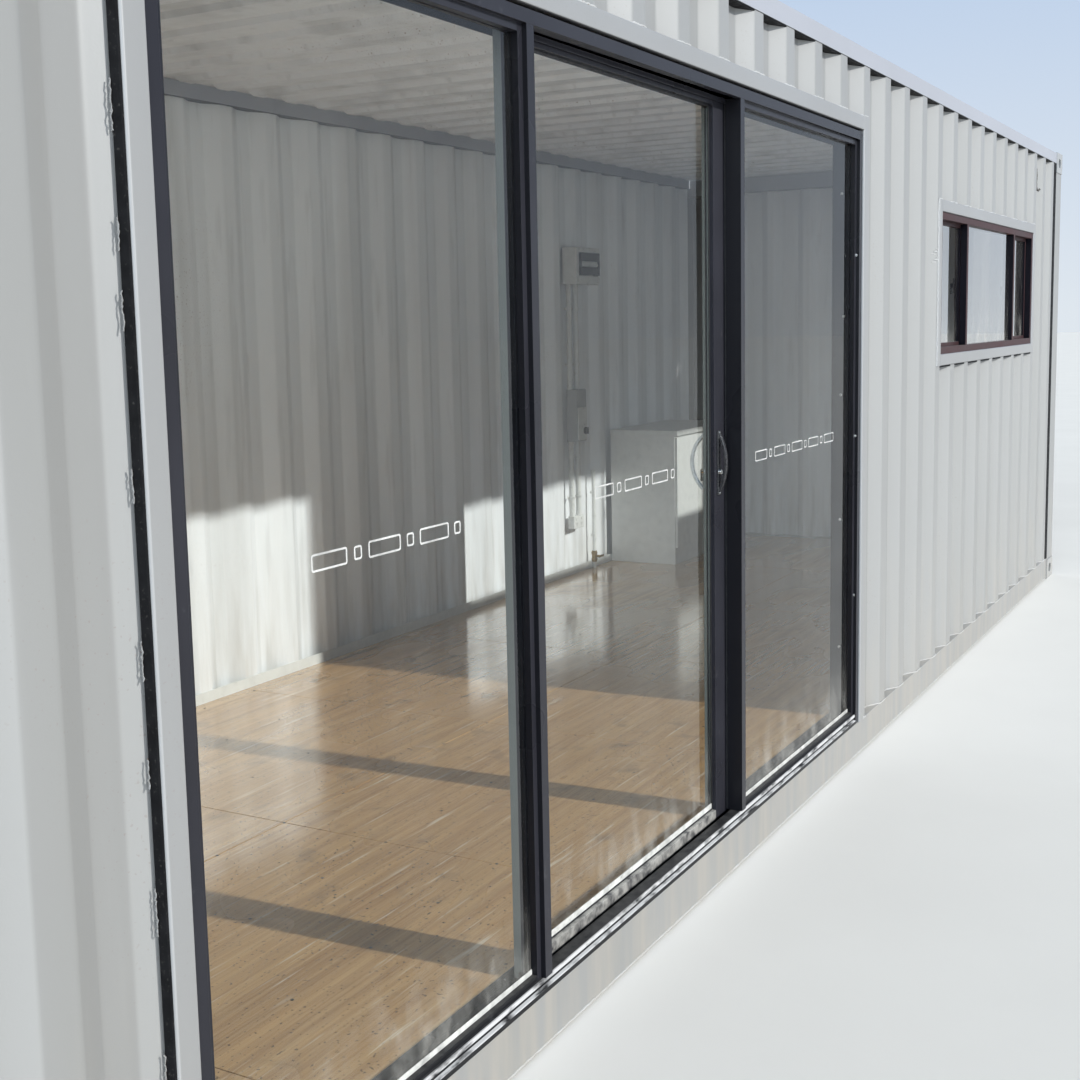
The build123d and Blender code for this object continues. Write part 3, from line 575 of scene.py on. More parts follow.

# Black fill for shade
# Black compound fills the groove between the left tube and the sheet, the one at the corner post,
# and the valleys of the ribs under the top rail and under the window tube. It is painted shade,
# put where shade falls, and its face is uneven.


def add_solids(name, edge, material, blocks=(), bars=(), prisms=(), **settings):
    """Adds a piece of blocks (two corners), bars (two ends and a radius) and upright prisms
    (outline, foot and top)."""
    shell = bmesh.new()
    for low, high in blocks:
        low, high = Vector(low), Vector(high)
        size = Matrix.Diagonal((*(high - low), 1.0))
        bmesh.ops.create_cube(shell, size=1.0, matrix=Matrix.Translation((low + high) / 2) @ size)
    for start, end, radius in bars:
        start, end = Vector(start), Vector(end)
        turn = (end - start).to_track_quat("Z", "Y").to_matrix().to_4x4()
        bmesh.ops.create_cone(
            shell, cap_ends=True, segments=20, radius1=radius, radius2=radius, depth=(end - start).length,
            matrix=Matrix.Translation((start + end) / 2) @ turn,
        )
    for outline, foot, top in prisms:
        lower, upper = ([shell.verts.new((x, y, z)) for x, y in outline] for z in (foot, top))
        shell.faces.new(lower)
        shell.faces.new(upper)
        for index in range(len(outline)):
            following = (index + 1) % len(outline)
            shell.faces.new((lower[index], lower[following], upper[following], upper[index]))
    add_shell(name, shell, edge, material, **settings)


def add_shell(name, shell, edge, material, **settings):
    """Adds what a shell of faces holds as a piece."""
    bmesh.ops.recalc_face_normals(shell, faces=shell.faces)
    mesh = bpy.data.meshes.new(name)
    shell.to_mesh(mesh)
    shell.free()
    add_piece(name, mesh, edge, material, **settings)


def sealant(name, colour, rough=0.55, lumps=0.0006):
    """Rubber or run-in compound: dull, with a lumpy face and dust caught on it."""
    material, shader, place = new_finish(name)
    caught = between(cloudy(place, 0.006, 6.0), 0.60, 0.78)
    fill(shader, {
        "Base Color": coated(toned(patches(place, 0.03, 4.0), colour, 0.7, 1.3), (caught, 0.25, (0.22, 0.21, 0.19))),
        "Roughness": patches(place, 0.02, 4.0, rough - 0.1, rough + 0.15),
        "Normal": relief(cloudy(place, 0.012, 4.0), lumps),
    })
    return material


shade_black_fill = sealant("shade_black_fill", (0.012, 0.012, 0.013))
# Almost no shine, so that it reads as shade.
fill(shade_black_fill.node_tree.nodes["Principled BSDF"], {"Specular IOR Level": 0.05})
groove = ((-0.0002, 0.0245), (0.0003, 0.0045), (-0.0030, 0.0070), (-0.0080, 0.0200))
corner = ((0.0, 0.0048), (0.0, 0.043), (-0.003, 0.043), (-0.066, 0.0085), (-0.064, 0.0062))
valley = (
    (0.0, 0.001), (rib_slope, rib_depth + 0.001), (rib_pitch - rib_flat - rib_slope, rib_depth + 0.001),
    (rib_pitch - rib_flat, 0.001),
)
rail_foot = reach("front_wall_right", 2)[1]
shade_fills = [
    ([(tube_left + x, tube_front + y) for x, y in groove], wall_foot, tube_top),
    ([(corner_right + x, tube_front + y) for x, y in corner], wall_foot, rail_foot),
]
# Black plugs in each valley under the top rail and under the window tube: painted shade.
for index in range(-int((first_rib - corner_left) / rib_pitch), 1):
    shade_plug = [(first_rib + index * rib_pitch + x, front_face + y) for x, y in valley]
    if shade_plug[0][0] > corner_left and shade_plug[3][0] < corner_right:
        shade_fills.append((shade_plug, rail_foot - 0.004, rail_foot - 0.0003))
    if shade_plug[1][0] > surround_left and shade_plug[2][0] < surround_right:
        shade_fills.append((shade_plug, surround_low - 0.0075, surround_low - 0.0003))
add_solids("shade_filled_seams", 0.0006, shade_black_fill, prisms=shade_fills)

# Wall hook
# A bent steel rod, welded under the top rail above the window. Its foot is turned outwards.
add_bead("cable_hook", dark_screws, 0.0062, 0.006, 0.0, 1, [[
    (5.406, -1.190, 2.455), (5.406, -1.190, 2.352), (5.409, -1.194, 2.338), (5.417, -1.201, 2.333),
    (5.424, -1.206, 2.341),
]])

# Sliding door and window frames
# Aluminium sections, powder coated in satin black for the door and brown for the window, and
# screwed into the steel tubes.


def powder_coat(name, colour, dust=0.5, rough=0.30, foot=0.0, shine=0.13, painted_side_tone=None, painted_side_from=None, worn_and_highlit_bands=()):
    """Satin powder coat with a fine grain and light scuffs, dusty on its ledges and below foot, and
    scraped bright inside the given bands, each from y to y and from z to z: worn bare metal, painted
    bright to stand for highlights on those edges. A side colour is painted on the faces that look
    along the wall, behind a given depth where that is given: painted shade where it is darker,
    painted light where it is paler."""
    material, shader, place = new_finish(name)
    tone = patches(place, 0.25, 2.0)
    scuffs = between(cloudy(place, 0.012, 3.0, (0.25, 0.25, 0.25)), 0.66, 0.78)
    coat = coated(toned(tone, colour, 0.85, 1.15), (scuffs, 0.22, (0.16, 0.16, 0.17)))
    # Faces that look along the wall get a painted colour: painted shade where darker, painted light where paler.
    if painted_side_tone is not None:
        painted_sides = between(maths("ABSOLUTE", looks(shader, "X")), 0.6, 0.9)
        if painted_side_from is not None:
            painted_sides = times(painted_sides, between(axis(place, "Y"), painted_side_from, painted_side_from + 0.001))
        coat = blend_colours(painted_sides, coat, painted_side_tone)
    settled = between(cloudy(place, 0.03, 4.0), 0.30, 0.62)
    ledge = times(between(looks(shader, "Z"), 0.5, 0.9), settled)
    coat = coated(coat, (ledge, dust, (0.46, 0.45, 0.43)))
    if foot > 0.0:
        splashed = times(between(axis(place, "Z"), foot + 0.004, foot), settled)
        coat = coated(coat, (splashed, 0.9, (0.50, 0.49, 0.46)))
    # Bare metal in bands, worn and painted bright: a painted highlight on the edges as well as wear.
    if worn_and_highlit_bands:
        worn_and_highlit = between(cloudy(place, 0.03, 6.0, (0.35, 1.0, 1.0)), 0.34, 0.50)
    for first, last, low, high in worn_and_highlit_bands:
        band = worn_and_highlit
        for letter, edge, way in (("Y", first, 1), ("Y", last, -1), ("Z", low, 1), ("Z", high, -1)):
            band = times(band, between(axis(place, letter), edge, edge + way * 0.0004))
        coat = blend_colours(band, coat, (0.66, 0.66, 0.67))
    fill(shader, {
        "Base Color": coat, "Roughness": between(tone, 0.0, 1.0, rough - 0.05, rough + 0.07),
        "Specular IOR Level": shine, "Coat Weight": shine * 0.5, "Coat Roughness": 0.12,
        "Normal": relief(cloudy(place, 0.0012, 1.0), 0.00004),
    })
    return material


panel_glass, fixed_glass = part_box("sliding_panel_glass"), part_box("door_fixed_glass")
panel_black = (0.030, 0.030, 0.038)
# The door frame's side faces are painted darker: painted shade.
door_coat = powder_coat("door_coat", (0.026, 0.026, 0.033), painted_side_tone=(0.012, 0.012, 0.015))
# The stile's sides behind the glass are painted paler: painted light.
stile_coat = powder_coat(
    "panel_stile_coat", panel_black, painted_side_tone=(0.190, 0.200, 0.190), painted_side_from=panel_glass[0][1]
)
rail_coat = powder_coat("panel_rail_coat", panel_black, foot=panel_glass[0][2])
# The window's side faces are painted darker: painted shade.
window_coat = powder_coat(
    "window_coat", (0.062, 0.034, 0.036), dust=0.3, rough=0.45, shine=0.05, painted_side_tone=(0.006, 0.005, 0.009)
)
sill_front = reach("door_sill", 1)[0]
# The sill's bright bands are worn metal and painted highlights on its edges.
sill_coat = powder_coat("sill_coat", (0.014, 0.014, 0.016), dust=0.10, rough=0.40, shine=0.12, worn_and_highlit_bands=(
    (sill_front + 0.0020, sill_front + 0.0070, 0.1565, 0.1680),
    (sill_front - 0.0010, sill_front + 0.0080, 0.1415, 0.1465),
))
for node, name, edge, material, body in (
    ("door_jambs", "jamb_sections", 0.0009, door_coat, "cabin"),
    ("door_mullions", "mullion_sections", 0.0009, door_coat, "cabin"),
    ("door_head", "head_section", 0.0009, door_coat, "cabin"),
    ("door_sill", "sill_section", 0.0009, sill_coat, "cabin"),
    ("window_frame", "window_outer_frame", 0.0009, window_coat, "cabin"),
    ("window_mullions", "window_mullion_bars", 0.0009, window_coat, "cabin"),
    ("window_sashes", "window_sash_frames", 0.0009, window_coat, "cabin"),
    ("sliding_panel_stiles", "panel_stiles", 0.0012, stile_coat, "sliding_panel"),
    ("sliding_panel_rails", "panel_rails", 0.0012, rail_coat, "sliding_panel"),
):
    finished_copy(node, name, edge, material, body=body, slot="dark_aluminium")

# Screws of the door frame and the window frame
# Pan-head screws hold the jambs to the steel tubes. They are plated, and shine in the dark frame.
plated = worn_metal("plated_screws", (0.62, 0.62, 0.60), rough=0.28, dirt=0.25)
jamb_left, jamb_right = reach("door_head", 0)
jamb_rows = (
    (-1.147, 0.42), (-1.147, 0.90), (-1.147, 1.359), (-1.156, 1.643), (-1.147, 2.08), (-1.201, 0.62),
    (-1.201, 1.210), (-1.201, 1.86),
)
for name, x, way in (("left_jamb_screws", jamb_left, 1.0), ("right_jamb_screws", jamb_right, -1.0)):
    grow(
        name, stud_tree, plated, {"Radius": 0.0050, "Height": 0.0040, "Direction": (way, 0.0, 0.0), "Seed": 5},
        points=[(x, y, z) for y, z in jamb_rows],
    )

# Gaskets and glazing strips
# Rubber is pressed in between glass and metal. At the foot of each pane a pale strip of silicone
# keeps the water out.
rubber = sealant("gasket_rubber", (0.016, 0.016, 0.017), rough=0.45, lumps=0.0001)
silicone = sealant("pale_silicone", (0.72, 0.72, 0.69), rough=0.35, lumps=0.0003)


def rim(left, right, foot, top, front, depth, wide):
    """Four bars round an opening, as blocks."""
    back = front + depth
    return [
        ((left, front, foot), (left + wide, back, top)), ((right - wide, front, foot), (right, back, top)),
        ((left + wide, front, foot), (right - wide, back, foot + wide)),
        ((left + wide, front, top - wide), (right - wide, back, top)),
    ]


(glass_left, glass_front, glass_foot), (glass_right, glass_back, glass_top) = panel_glass
mullion_left, mullion_right = reach("door_mullions", 0)
sill_bead = reach("door_sill", 2)[1]
lip = 0.0035
add_solids("panel_gaskets", 0.0008, rubber, body="sliding_panel", blocks=[
    block for front in (glass_front - lip, glass_back)
    for block in rim(glass_left, glass_right, glass_foot, glass_top, front, lip, 0.005)
])
add_solids("fixed_silicone", 0.0008, silicone, blocks=[
    ((left, fixed_glass[0][1] - 0.0022, sill_bead - 0.001), (right, fixed_glass[0][1], sill_bead + 0.012))
    for left, right in (
        (fixed_glass[0][0] + 0.002, mullion_left + 0.006), (mullion_right - 0.006, fixed_glass[1][0] - 0.002),
    )
])
add_solids("panel_silicone", 0.0008, silicone, body="sliding_panel", blocks=[
    ((glass_left + 0.005, glass_front - 0.0026, glass_foot + 0.004),
     (glass_right - 0.005, glass_front, glass_foot + 0.020)),
])

# Brush seals of the sliding panel
# Strips of black pile close the gap between the panel and the two mullions.
pile = sealant("seal_pile", (0.020, 0.020, 0.022), rough=0.8, lumps=0.0008)
panel_low, panel_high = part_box("sliding_panel_stiles")
pile_front = panel_low[1] - 0.6 * (panel_low[1] - reach("door_mullions", 1)[1])
add_solids("brush_seals", 0.001, pile, body="sliding_panel", blocks=[
    ((x, pile_front, panel_low[2] + 0.02), (x + 0.007, panel_low[1], panel_high[2] - 0.02))
    for x in (panel_low[0] + 0.006, panel_high[0] - 0.013)
])

# Glass
# Float glass, bright on both faces, with a trace of green. Dust and the marks of rain lie on it,
# thickest along its foot.


def mixed(share, first, second):
    """Mixes two shaders by a share from 0 to 1."""
    return layer(share.id_data, "ShaderNodeMixShader", {0: share, 1: first, 2: second})


def float_glass(name, foot, mirror, film_share):
    """Clear glass with a film of dust, dirty over foot. Shadows and soft light pass it undimmed by dirt."""
    material, shader, place = new_finish(name)
    tree = shader.id_data
    tree.nodes.remove(shader)
    bright = layer(tree, "ShaderNodeBsdfGlossy", {"Color": (1.0, 1.0, 1.0, 1.0), "Roughness": 0.0})
    clear = layer(tree, "ShaderNodeBsdfTransparent", {"Color": (0.970, 0.985, 0.980, 1.0)})
    film = layer(tree, "ShaderNodeBsdfDiffuse", {"Color": (0.62, 0.60, 0.56, 1.0)})
    back_side = layer(tree, "ShaderNodeNewGeometry", out="Backfacing")
    share = times(layer(tree, "ShaderNodeFresnel", {"IOR": 1.5}), between(back_side, 1.0, 0.0, 0.0, mirror))
    smears = between(cloudy(place, 0.30, 2.0, (1.0, 1.0, 0.35)), 0.45, 0.72)
    splashes = between(cloudy(place, 0.05, 4.0, (1.0, 1.0, 0.5)), 0.30, 0.70)
    low = times(between(axis(place, "Z"), foot + 0.30, foot), splashes)
    dust = maths("ADD", times(smears, film_share), times(times(low, low), 0.28))
    rays = layer(tree, "ShaderNodeLightPath").node.outputs
    unseen = maths("MAXIMUM", rays["Is Shadow Ray"], rays["Is Diffuse Ray"])
    surface = mixed(unseen, mixed(dust, mixed(share, clear, bright), film), clear)
    fill(tree.nodes["Material Output"], {"Surface": surface})
    return material


door_glass = float_glass("door_float_glass", sill_bead, 0.80, 0.014)
window_glass = float_glass("window_float_glass", reach("window_glass", 2)[0], 1.8, 0.05)
dress(nodes["door_fixed_glass"].data, door_glass)
dress(nodes["sliding_panel_glass"].data, door_glass)
dress(nodes["window_glass"].data, window_glass)

# Marks on the glass
# Chains of small outlined blocks in white film stand at waist height on each pane, so that nobody
# walks into it. They are cut film, stuck on the outer face.
film_sizes = ((0.104, 0.032), (0.024, 0.026))
film_gap, film_width = 0.0205, 0.0038
white_film = sealant("white_film", (0.58, 0.58, 0.56), rough=0.4, lumps=0.00002)


def outlined_blocks(name, start, end, face, middle, body):
    """Long and short rounded outlines in turn, from start to end along the pane."""
    shell = bmesh.new()
    left = start
    for wide, high in itertools.cycle(film_sizes):
        if left + wide > end:
            break
        rings = []
        for inset, corner in ((0.0, 0.005), (film_width, 0.0025)):
            ring = []
            for turn, (across, upwards) in enumerate(((1, -1), (1, 1), (-1, 1), (-1, -1))):
                x = left + wide / 2 + across * (wide / 2 - inset - corner)
                z = middle + upwards * (high / 2 - inset - corner)
                for angle in (math.radians(90 * turn - 90 + 30 * step) for step in range(4)):
                    ring.append((x + corner * math.cos(angle), z + corner * math.sin(angle)))
            rings.append(ring)
        outer, inner = rings
        for index in range(len(outer)):
            quad = (outer[index - 1], outer[index], inner[index], inner[index - 1])
            front, back = ([shell.verts.new((x, face - lift, z)) for x, z in quad] for lift in (0.0004, 0.0001))
            shell.faces.new(front)
            shell.faces.new(back[::-1])
            shell.faces.new((front[0], front[1], back[1], back[0]))
            shell.faces.new((front[3], front[2], back[2], back[3]))
        left += wide + film_gap
    bmesh.ops.remove_doubles(shell, verts=shell.verts, dist=1e-6)
    add_shell(name, shell, 0.0, white_film, body=body)


outlined_blocks("left_pane_marks", -1.316, -0.800, fixed_glass[0][1], 1.237, "cabin")
outlined_blocks("panel_marks", -0.143, 0.370, panel_glass[0][1], 1.225, "sliding_panel")
outlined_blocks("right_pane_marks", 0.865, 1.660, fixed_glass[0][1], 1.224, "cabin")

# Rollers and pull handles of the sliding panel
# Nylon wheels run on the sill's track. The handles are bowed bars on narrow plates, one each side:
# the outer one is black, the inner one satin grey.


def moulded(name, colour, rough, grain=0.00005):
    """Moulded plastic or thick enamel: even, faintly grained, a little grimy where it is touched."""
    material, shader, place = new_finish(name)
    grime = between(cloudy(place, 0.05, 4.0), 0.56, 0.78)
    plastic = toned(patches(place, 0.06, 5.0), colour, 0.93, 1.04)
    fill(shader, {
        "Base Color": coated(plastic, (grime, 0.25, [c * 0.55 for c in colour])),
        "Roughness": patches(place, 0.03, 4.0, rough - 0.05, rough + 0.07),
        "Normal": relief(cloudy(place, 0.0016, 2.0), grain),
    })
    return material


dress(nodes["sliding_panel_rollers"].data, moulded("roller_nylon", (0.05, 0.05, 0.05), 0.4))
handle_coat, shader, place = new_finish("handle_coat")
worn = between(cloudy(place, 0.015, 5.0), 0.35, 0.70)
handle_black = blend_colours(worn, (0.030, 0.030, 0.034), (0.055, 0.054, 0.056))
handle_grey = blend_colours(worn, (0.52, 0.52, 0.51), (0.66, 0.66, 0.65))
fill(shader, {
    "Base Color": blend_colours(between(axis(place, "Y"), -1.141, -1.139), handle_black, handle_grey),
    "Roughness": patches(place, 0.01, 5.0, 0.20, 0.36), "Coat Weight": 0.5, "Coat Roughness": 0.08,
})
finished_copy(
    "sliding_panel_handles", "pull_handles", 0.0025, handle_coat, body="sliding_panel", segments=3,
    slot="handle_metal",
)

# Lock cylinder, thumb turn and handle screws
# A bright cylinder sits in the outer plate, and a small turn is mounted on the inner one. Two
# screws hold each plate.


def about(middle, half):
    """The two ends of a side that is centred."""
    return middle - half, middle + half


def slab(*sides):
    """A block, from the ends of its sides along, from front to back and upwards."""
    return tuple(zip(*sides))


handle_low, handle_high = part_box("sliding_panel_handles")
handle_x = (handle_low[0] + handle_high[0]) / 2
lock_height = handle_low[2] + 0.36 * (handle_high[2] - handle_low[2])
outer_plate, inner_plate = panel_low[1] - 0.005, panel_high[1] + 0.005
bright_metal = worn_metal("bright_cylinder", (0.78, 0.77, 0.74), rough=0.18, dirt=0.15, metallic=1.0)
add_solids(
    "lock_and_turn", 0.0008, bright_metal, body="sliding_panel", slot="handle_metal",
    blocks=[
        slab(about(handle_x, 0.0012), (outer_plate - 0.0078, outer_plate - 0.006), about(lock_height, 0.006)),
        slab(about(handle_x, 0.0035), (inner_plate + 0.006, inner_plate + 0.014), about(lock_height - 0.012, 0.018)),
    ],
    bars=[
        ((handle_x, start, lock_height), (handle_x, end, lock_height), radius) for start, end, radius in (
            (outer_plate + 0.001, outer_plate - 0.0065, 0.0085), (inner_plate - 0.001, inner_plate + 0.010, 0.0070),
        )
    ],
)
for name, y, way in (("outer_handle_screws", outer_plate, -1.0), ("inner_handle_screws", inner_plate, 1.0)):
    grow(
        name, stud_tree, plated, {"Radius": 0.0038, "Height": 0.0024, "Direction": (0.0, way, 0.0), "Seed": 9},
        points=[(handle_x, y, z) for z in (handle_low[2] + 0.006, handle_high[2] - 0.006)], body="sliding_panel",
    )

# Catches of the long window
# Each end light is closed by a small cast lever on its stile, inside.
latch_metal = moulded("latch_enamel", (0.05, 0.045, 0.045), 0.3)
sash_low, sash_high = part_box("window_sashes")
sash_back, catch_inset = sash_high[1], 0.470
add_solids("window_catches", 0.0015, latch_metal, blocks=[
    block for x in (sash_low[0] + catch_inset, sash_high[0] - catch_inset) for block in (
        slab(about(x, 0.007), (sash_back, sash_back + 0.004), (1.74, 1.81)),
        slab(about(x, 0.004), (sash_back + 0.004, sash_back + 0.012), (1.765, 1.785)),
        slab(about(x, 0.004), (sash_back + 0.010, sash_back + 0.015), (1.735, 1.785)),
    )
])

# Cases of the electrical fittings on the back wall
# Moulded plastic boxes with rounded edges, joined by plastic conduits that run up the wall.
white_plastic = moulded("white_plastic", (0.74, 0.74, 0.72), 0.30)
grey_plastic = moulded("grey_plastic", (0.40, 0.41, 0.42), 0.35)
for node, name, edge, material, slot in (
    ("distribution_board", "distribution_board_case", 0.003, white_plastic, "white_plastic"),
    ("isolator_box", "isolator_case", 0.003, grey_plastic, "grey_plastic"),
    ("power_outlet", "outlet_case", 0.002, white_plastic, "white_plastic"),
    ("wall_conduits", "conduit_runs", 0.0, white_plastic, "white_plastic"),
):
    finished_copy(node, name, edge, material, slot=slot)

# Cover and breakers of the distribution board
# A smoked cover, hinged on its left, closes a row of breakers with pale toggles.
low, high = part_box("distribution_board")
board_face = low[1]
cover_left, cover_right = low[0] + 0.035, high[0] - 0.025
cover_low, cover_high = low[2] + 0.050, high[2] - 0.030
breaker_count = 12
breaker_pitch = (cover_right - cover_left - 0.024) / breaker_count
add_solids("breaker_row", 0.0008, white_plastic, slot="white_plastic", blocks=[
    block for left in (cover_left + breaker_pitch * index for index in range(breaker_count)) for block in (
        slab((left + 0.0125, left + breaker_pitch + 0.0115), (board_face - 0.004, board_face + 0.001),
             (cover_low + 0.025, cover_high - 0.025)),
        slab((left + 0.017, left + breaker_pitch + 0.008), (board_face - 0.009, board_face - 0.003),
             (cover_low + 0.055, cover_low + 0.068)),
    )
])
smoke = moulded("smoked_plastic", (0.022, 0.024, 0.026), 0.12, 0.00001)
plate = (cover_left + 0.008, cover_right - 0.008), (board_face - 0.014, board_face - 0.012)
add_solids("board_cover", 0.0012, smoke, blocks=[
    *rim(cover_left, cover_right, cover_low, cover_high, board_face - 0.014, 0.0145, 0.010),
    slab(*plate, (cover_low + 0.008, cover_low + 0.050)), slab(*plate, (cover_high - 0.050, cover_high - 0.008)),
    slab((cover_right - 0.080, cover_right - 0.030), (board_face - 0.018, board_face - 0.012),
         (cover_low - 0.004, cover_low + 0.006)),
])

# Lid and switch of the isolator, and the outlet's sockets
# The isolator's pale lid fills its lower part and carries a dark rotary switch. The outlet has two
# rockers over two sockets with flat pin slots.
dark_plastic = moulded("dark_plastic", (0.040, 0.040, 0.042), 0.32)
low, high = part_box("isolator_box")
face = low[1]
add_solids("isolator_lid", 0.004, white_plastic, segments=3, slot="white_plastic", blocks=[
    slab((low[0] + 0.006, high[0] - 0.006), (face - 0.006, face + 0.002), (low[2] + 0.008, low[2] + 0.200)),
])
knob_x, knob_z = high[0] - 0.034, low[2] + 0.062
add_solids(
    "isolator_knob", 0.0015, dark_plastic,
    blocks=[slab(about(knob_x, 0.005), (face - 0.028, face - 0.010), about(knob_z, 0.019))],
    bars=[((knob_x, face - 0.005, knob_z), (knob_x, face - 0.013, knob_z), 0.021)],
)
low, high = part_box("power_outlet")
face, middle_z = low[1], (low[2] + high[2]) / 2
add_solids("outlet_rockers", 0.001, white_plastic, slot="white_plastic", blocks=[
    slab(about(x, 0.006), (face - 0.003, face + 0.001), about(middle_z + 0.018, 0.008))
    for x in (low[0] + 0.028, high[0] - 0.028)
])
add_solids("outlet_slots", 0.0002, dark_plastic, blocks=[
    slab(about(x + shift, 0.0011), (face - 0.0006, face + 0.001), about(middle_z + lift, 0.0045))
    for x in (low[0] + 0.034, high[0] - 0.034)
    for shift, lift in ((-0.007, -0.008), (0.007, -0.008), (0.0, -0.020))
])

# Saddles of the conduits
# Half-round plastic straps with two feet hold the conduits to the ribs of the sheet.
conduit_low, conduit_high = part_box("wall_conduits")
conduit_radius, strap_sheet, strap_half, strap_steps = 0.016, 0.0022, 0.006, 8


def saddle(x, z):
    """Blocks of one strap bent over a conduit that stands on the wall."""
    back = conduit_high[1]
    middle = back - conduit_radius
    bend = conduit_radius + strap_sheet / 2
    blocks = []
    for angle in (math.radians(180 * (index + 0.5) / strap_steps) for index in range(strap_steps)):
        across, outwards = x + bend * math.cos(angle), middle - bend * math.sin(angle)
        blocks.append(slab(about(across, 0.0035), about(outwards, 0.0035), about(z, strap_half)))
    for side in (-1, 1):
        foot = sorted((x + side * conduit_radius, x + side * (conduit_radius + 0.014)))
        blocks.append(slab(foot, (back - strap_sheet, back), about(z, strap_half)))
        blocks.append(slab(about(x + side * bend, strap_sheet / 2), (middle, back), about(z, strap_half)))
    return blocks


add_solids("conduit_saddles", 0.0006, white_plastic, slot="white_plastic", blocks=[
    block for x in (conduit_low[0] + conduit_radius, conduit_high[0] - conduit_radius)
    for z in (0.62, 0.86, 1.40, 1.72) for block in saddle(x, z)
])

# Water pipe, its clips, cap and stop valve
# A thin pipe rises by the foot of the wall, with two clips, a cap and a brass valve with a lever.
finished_copy("water_pipe", "water_pipe_run", 0.0, white_plastic, slot="white_plastic")
low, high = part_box("water_pipe")
pipe_x, pipe_y = (low[0] + high[0]) / 2, (low[1] + high[1]) / 2
clip_heights = (0.36, 0.62)


def collar(foot, top, radius):
    """A bar round the pipe."""
    return (pipe_x, pipe_y, foot), (pipe_x, pipe_y, top), radius


add_solids(
    "pipe_clips", 0.0012, white_plastic, slot="white_plastic",
    blocks=[slab(about(pipe_x, 0.018), (high[1] - 0.004, high[1] + 0.003), about(z, 0.008)) for z in clip_heights],
    bars=[collar(*about(z, 0.007), 0.0135) for z in clip_heights]
    + [collar(high[2] - 0.020, high[2] + 0.006, 0.0140)],
)
brass = worn_metal("dull_brass", (0.30, 0.22, 0.10), rough=0.35, dirt=0.6)
add_solids(
    "stop_valve", 0.0012, brass,
    blocks=[slab((pipe_x - 0.004, pipe_x + 0.050), (pipe_y - 0.040, pipe_y - 0.036), (0.222, 0.236))],
    bars=[
        collar(0.195, 0.262, 0.0155), ((pipe_x, pipe_y, 0.229), (pipe_x, pipe_y - 0.040, 0.229), 0.0085),
        collar(0.205, 0.216, 0.0185), collar(0.243, 0.254, 0.0185),
    ],
)

# Corner cupboard and wall foot strip
# A painted base cupboard with two doors, gaps round them and bar handles, on a set-back plinth.
white_trim = moulded("white_trim", (0.70, 0.70, 0.68), 0.35, 0.0001)
for node, name, edge in (("corner_cupboard", "cupboard_body", 0.002), ("back_skirting", "wall_foot_strip", 0.0008)):
    finished_copy(node, name, edge, white_trim, slot="white_trim")
low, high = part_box("corner_cupboard")
front, half, top = low[1], (low[0] + high[0]) / 2, high[2]
pull_front = front - 0.040
add_solids("cupboard_doors", 0.0015, white_trim, slot="white_trim", blocks=[
    slab(side, (front - 0.016, front - 0.001), (low[2] + 0.105, top - 0.040))
    for side in ((low[0] + 0.003, half - 0.0015), (half + 0.0015, high[0] - 0.003))
])
add_solids("cupboard_top", 0.003, white_trim, segments=3, slot="white_trim", blocks=[
    slab((low[0] - 0.003, high[0]), (front - 0.020, high[1]), (top - 0.030, top + 0.001)),
])
add_solids("cupboard_pulls", 0.0008, plated, bars=[
    bar for x in about(half, 0.045) for bar in (
        ((x, pull_front, top - 0.190), (x, pull_front, top - 0.070), 0.005),
        *(((x, pull_front, z), (x, front - 0.015, z), 0.004) for z in (top - 0.170, top - 0.090)),
    )
])

# Cargo doors
# Two steel leaves close the far end. Each has a ribbed sheet in a tube frame, four welded hinges
# and two lock rods with flat handles.
cargo_paint = steel_paint("cargo_door_paint", grey, grime=0.9, rust=0.6)
rod_paint = steel_paint("lock_rod_paint", (0.46, 0.465, 0.47), grime=0.9, rust=1.0)
for node, name, edge, material, slot in (
    ("cargo_door_front", "front_cargo_leaf", 0.003, cargo_paint, "wall_paint"),
    ("cargo_door_back", "back_cargo_leaf", 0.003, cargo_paint, "wall_paint"),
    ("cargo_lock_rods", "lock_rods", 0.0015, rod_paint, "frame_paint"),
):
    finished_copy(node, name, edge, material, slot=slot)

# Fittings of the cargo doors
# Cast brackets carry the rods, with four bolts each. Cams on the rods' ends turn behind keepers on
# the frame, a catch holds each handle, and pins join the hinges.
leaf_low, leaf_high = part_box("cargo_door_front")
rod_low, rod_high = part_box("cargo_lock_rods")
leaf_face, header_face = rod_high[0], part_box("end_headers")[0][0]
leaf_edge = -leaf_low[1]
rod_span = leaf_high[1] - leaf_low[1] - 0.0117
rod_places = [sign * (0.006 + rod_span * share) for sign in (-1, 1) for share in (0.3, 0.72)]
bracket_heights, handle_length = (0.50, 1.32, 2.12), 0.245
brackets = [
    block for y in rod_places for z in bracket_heights for block in (
        slab((leaf_face - 0.005, leaf_face + 0.001), about(y, 0.056), about(z, 0.024)),
        slab((leaf_face - 0.0375, leaf_face - 0.004), about(y, 0.024), about(z, 0.018)),
    )
]
cams = [
    slab((leaf_face - 0.038, leaf_face - 0.002), about(y, 0.027), about(z, 0.017))
    for y in rod_places for z in (rod_low[2] + 0.023, rod_high[2] - 0.023)
]
add_solids("rod_brackets", 0.003, rod_paint, blocks=brackets + cams, segments=3, slot="frame_paint")
add_solids("cam_keepers", 0.0012, rod_paint, slot="frame_paint", blocks=[
    block for y in rod_places for z in (0.118, leaf_high[2] + 0.024) for block in (
        slab((header_face - 0.0035, header_face + 0.002), about(y, 0.060), (z, z + 0.030)),
        *(slab((header_face - 0.0035, header_face + 0.016), about(side, 0.005), (z - 0.006, z + 0.036))
          for side in about(y, 0.035)),
    )
])
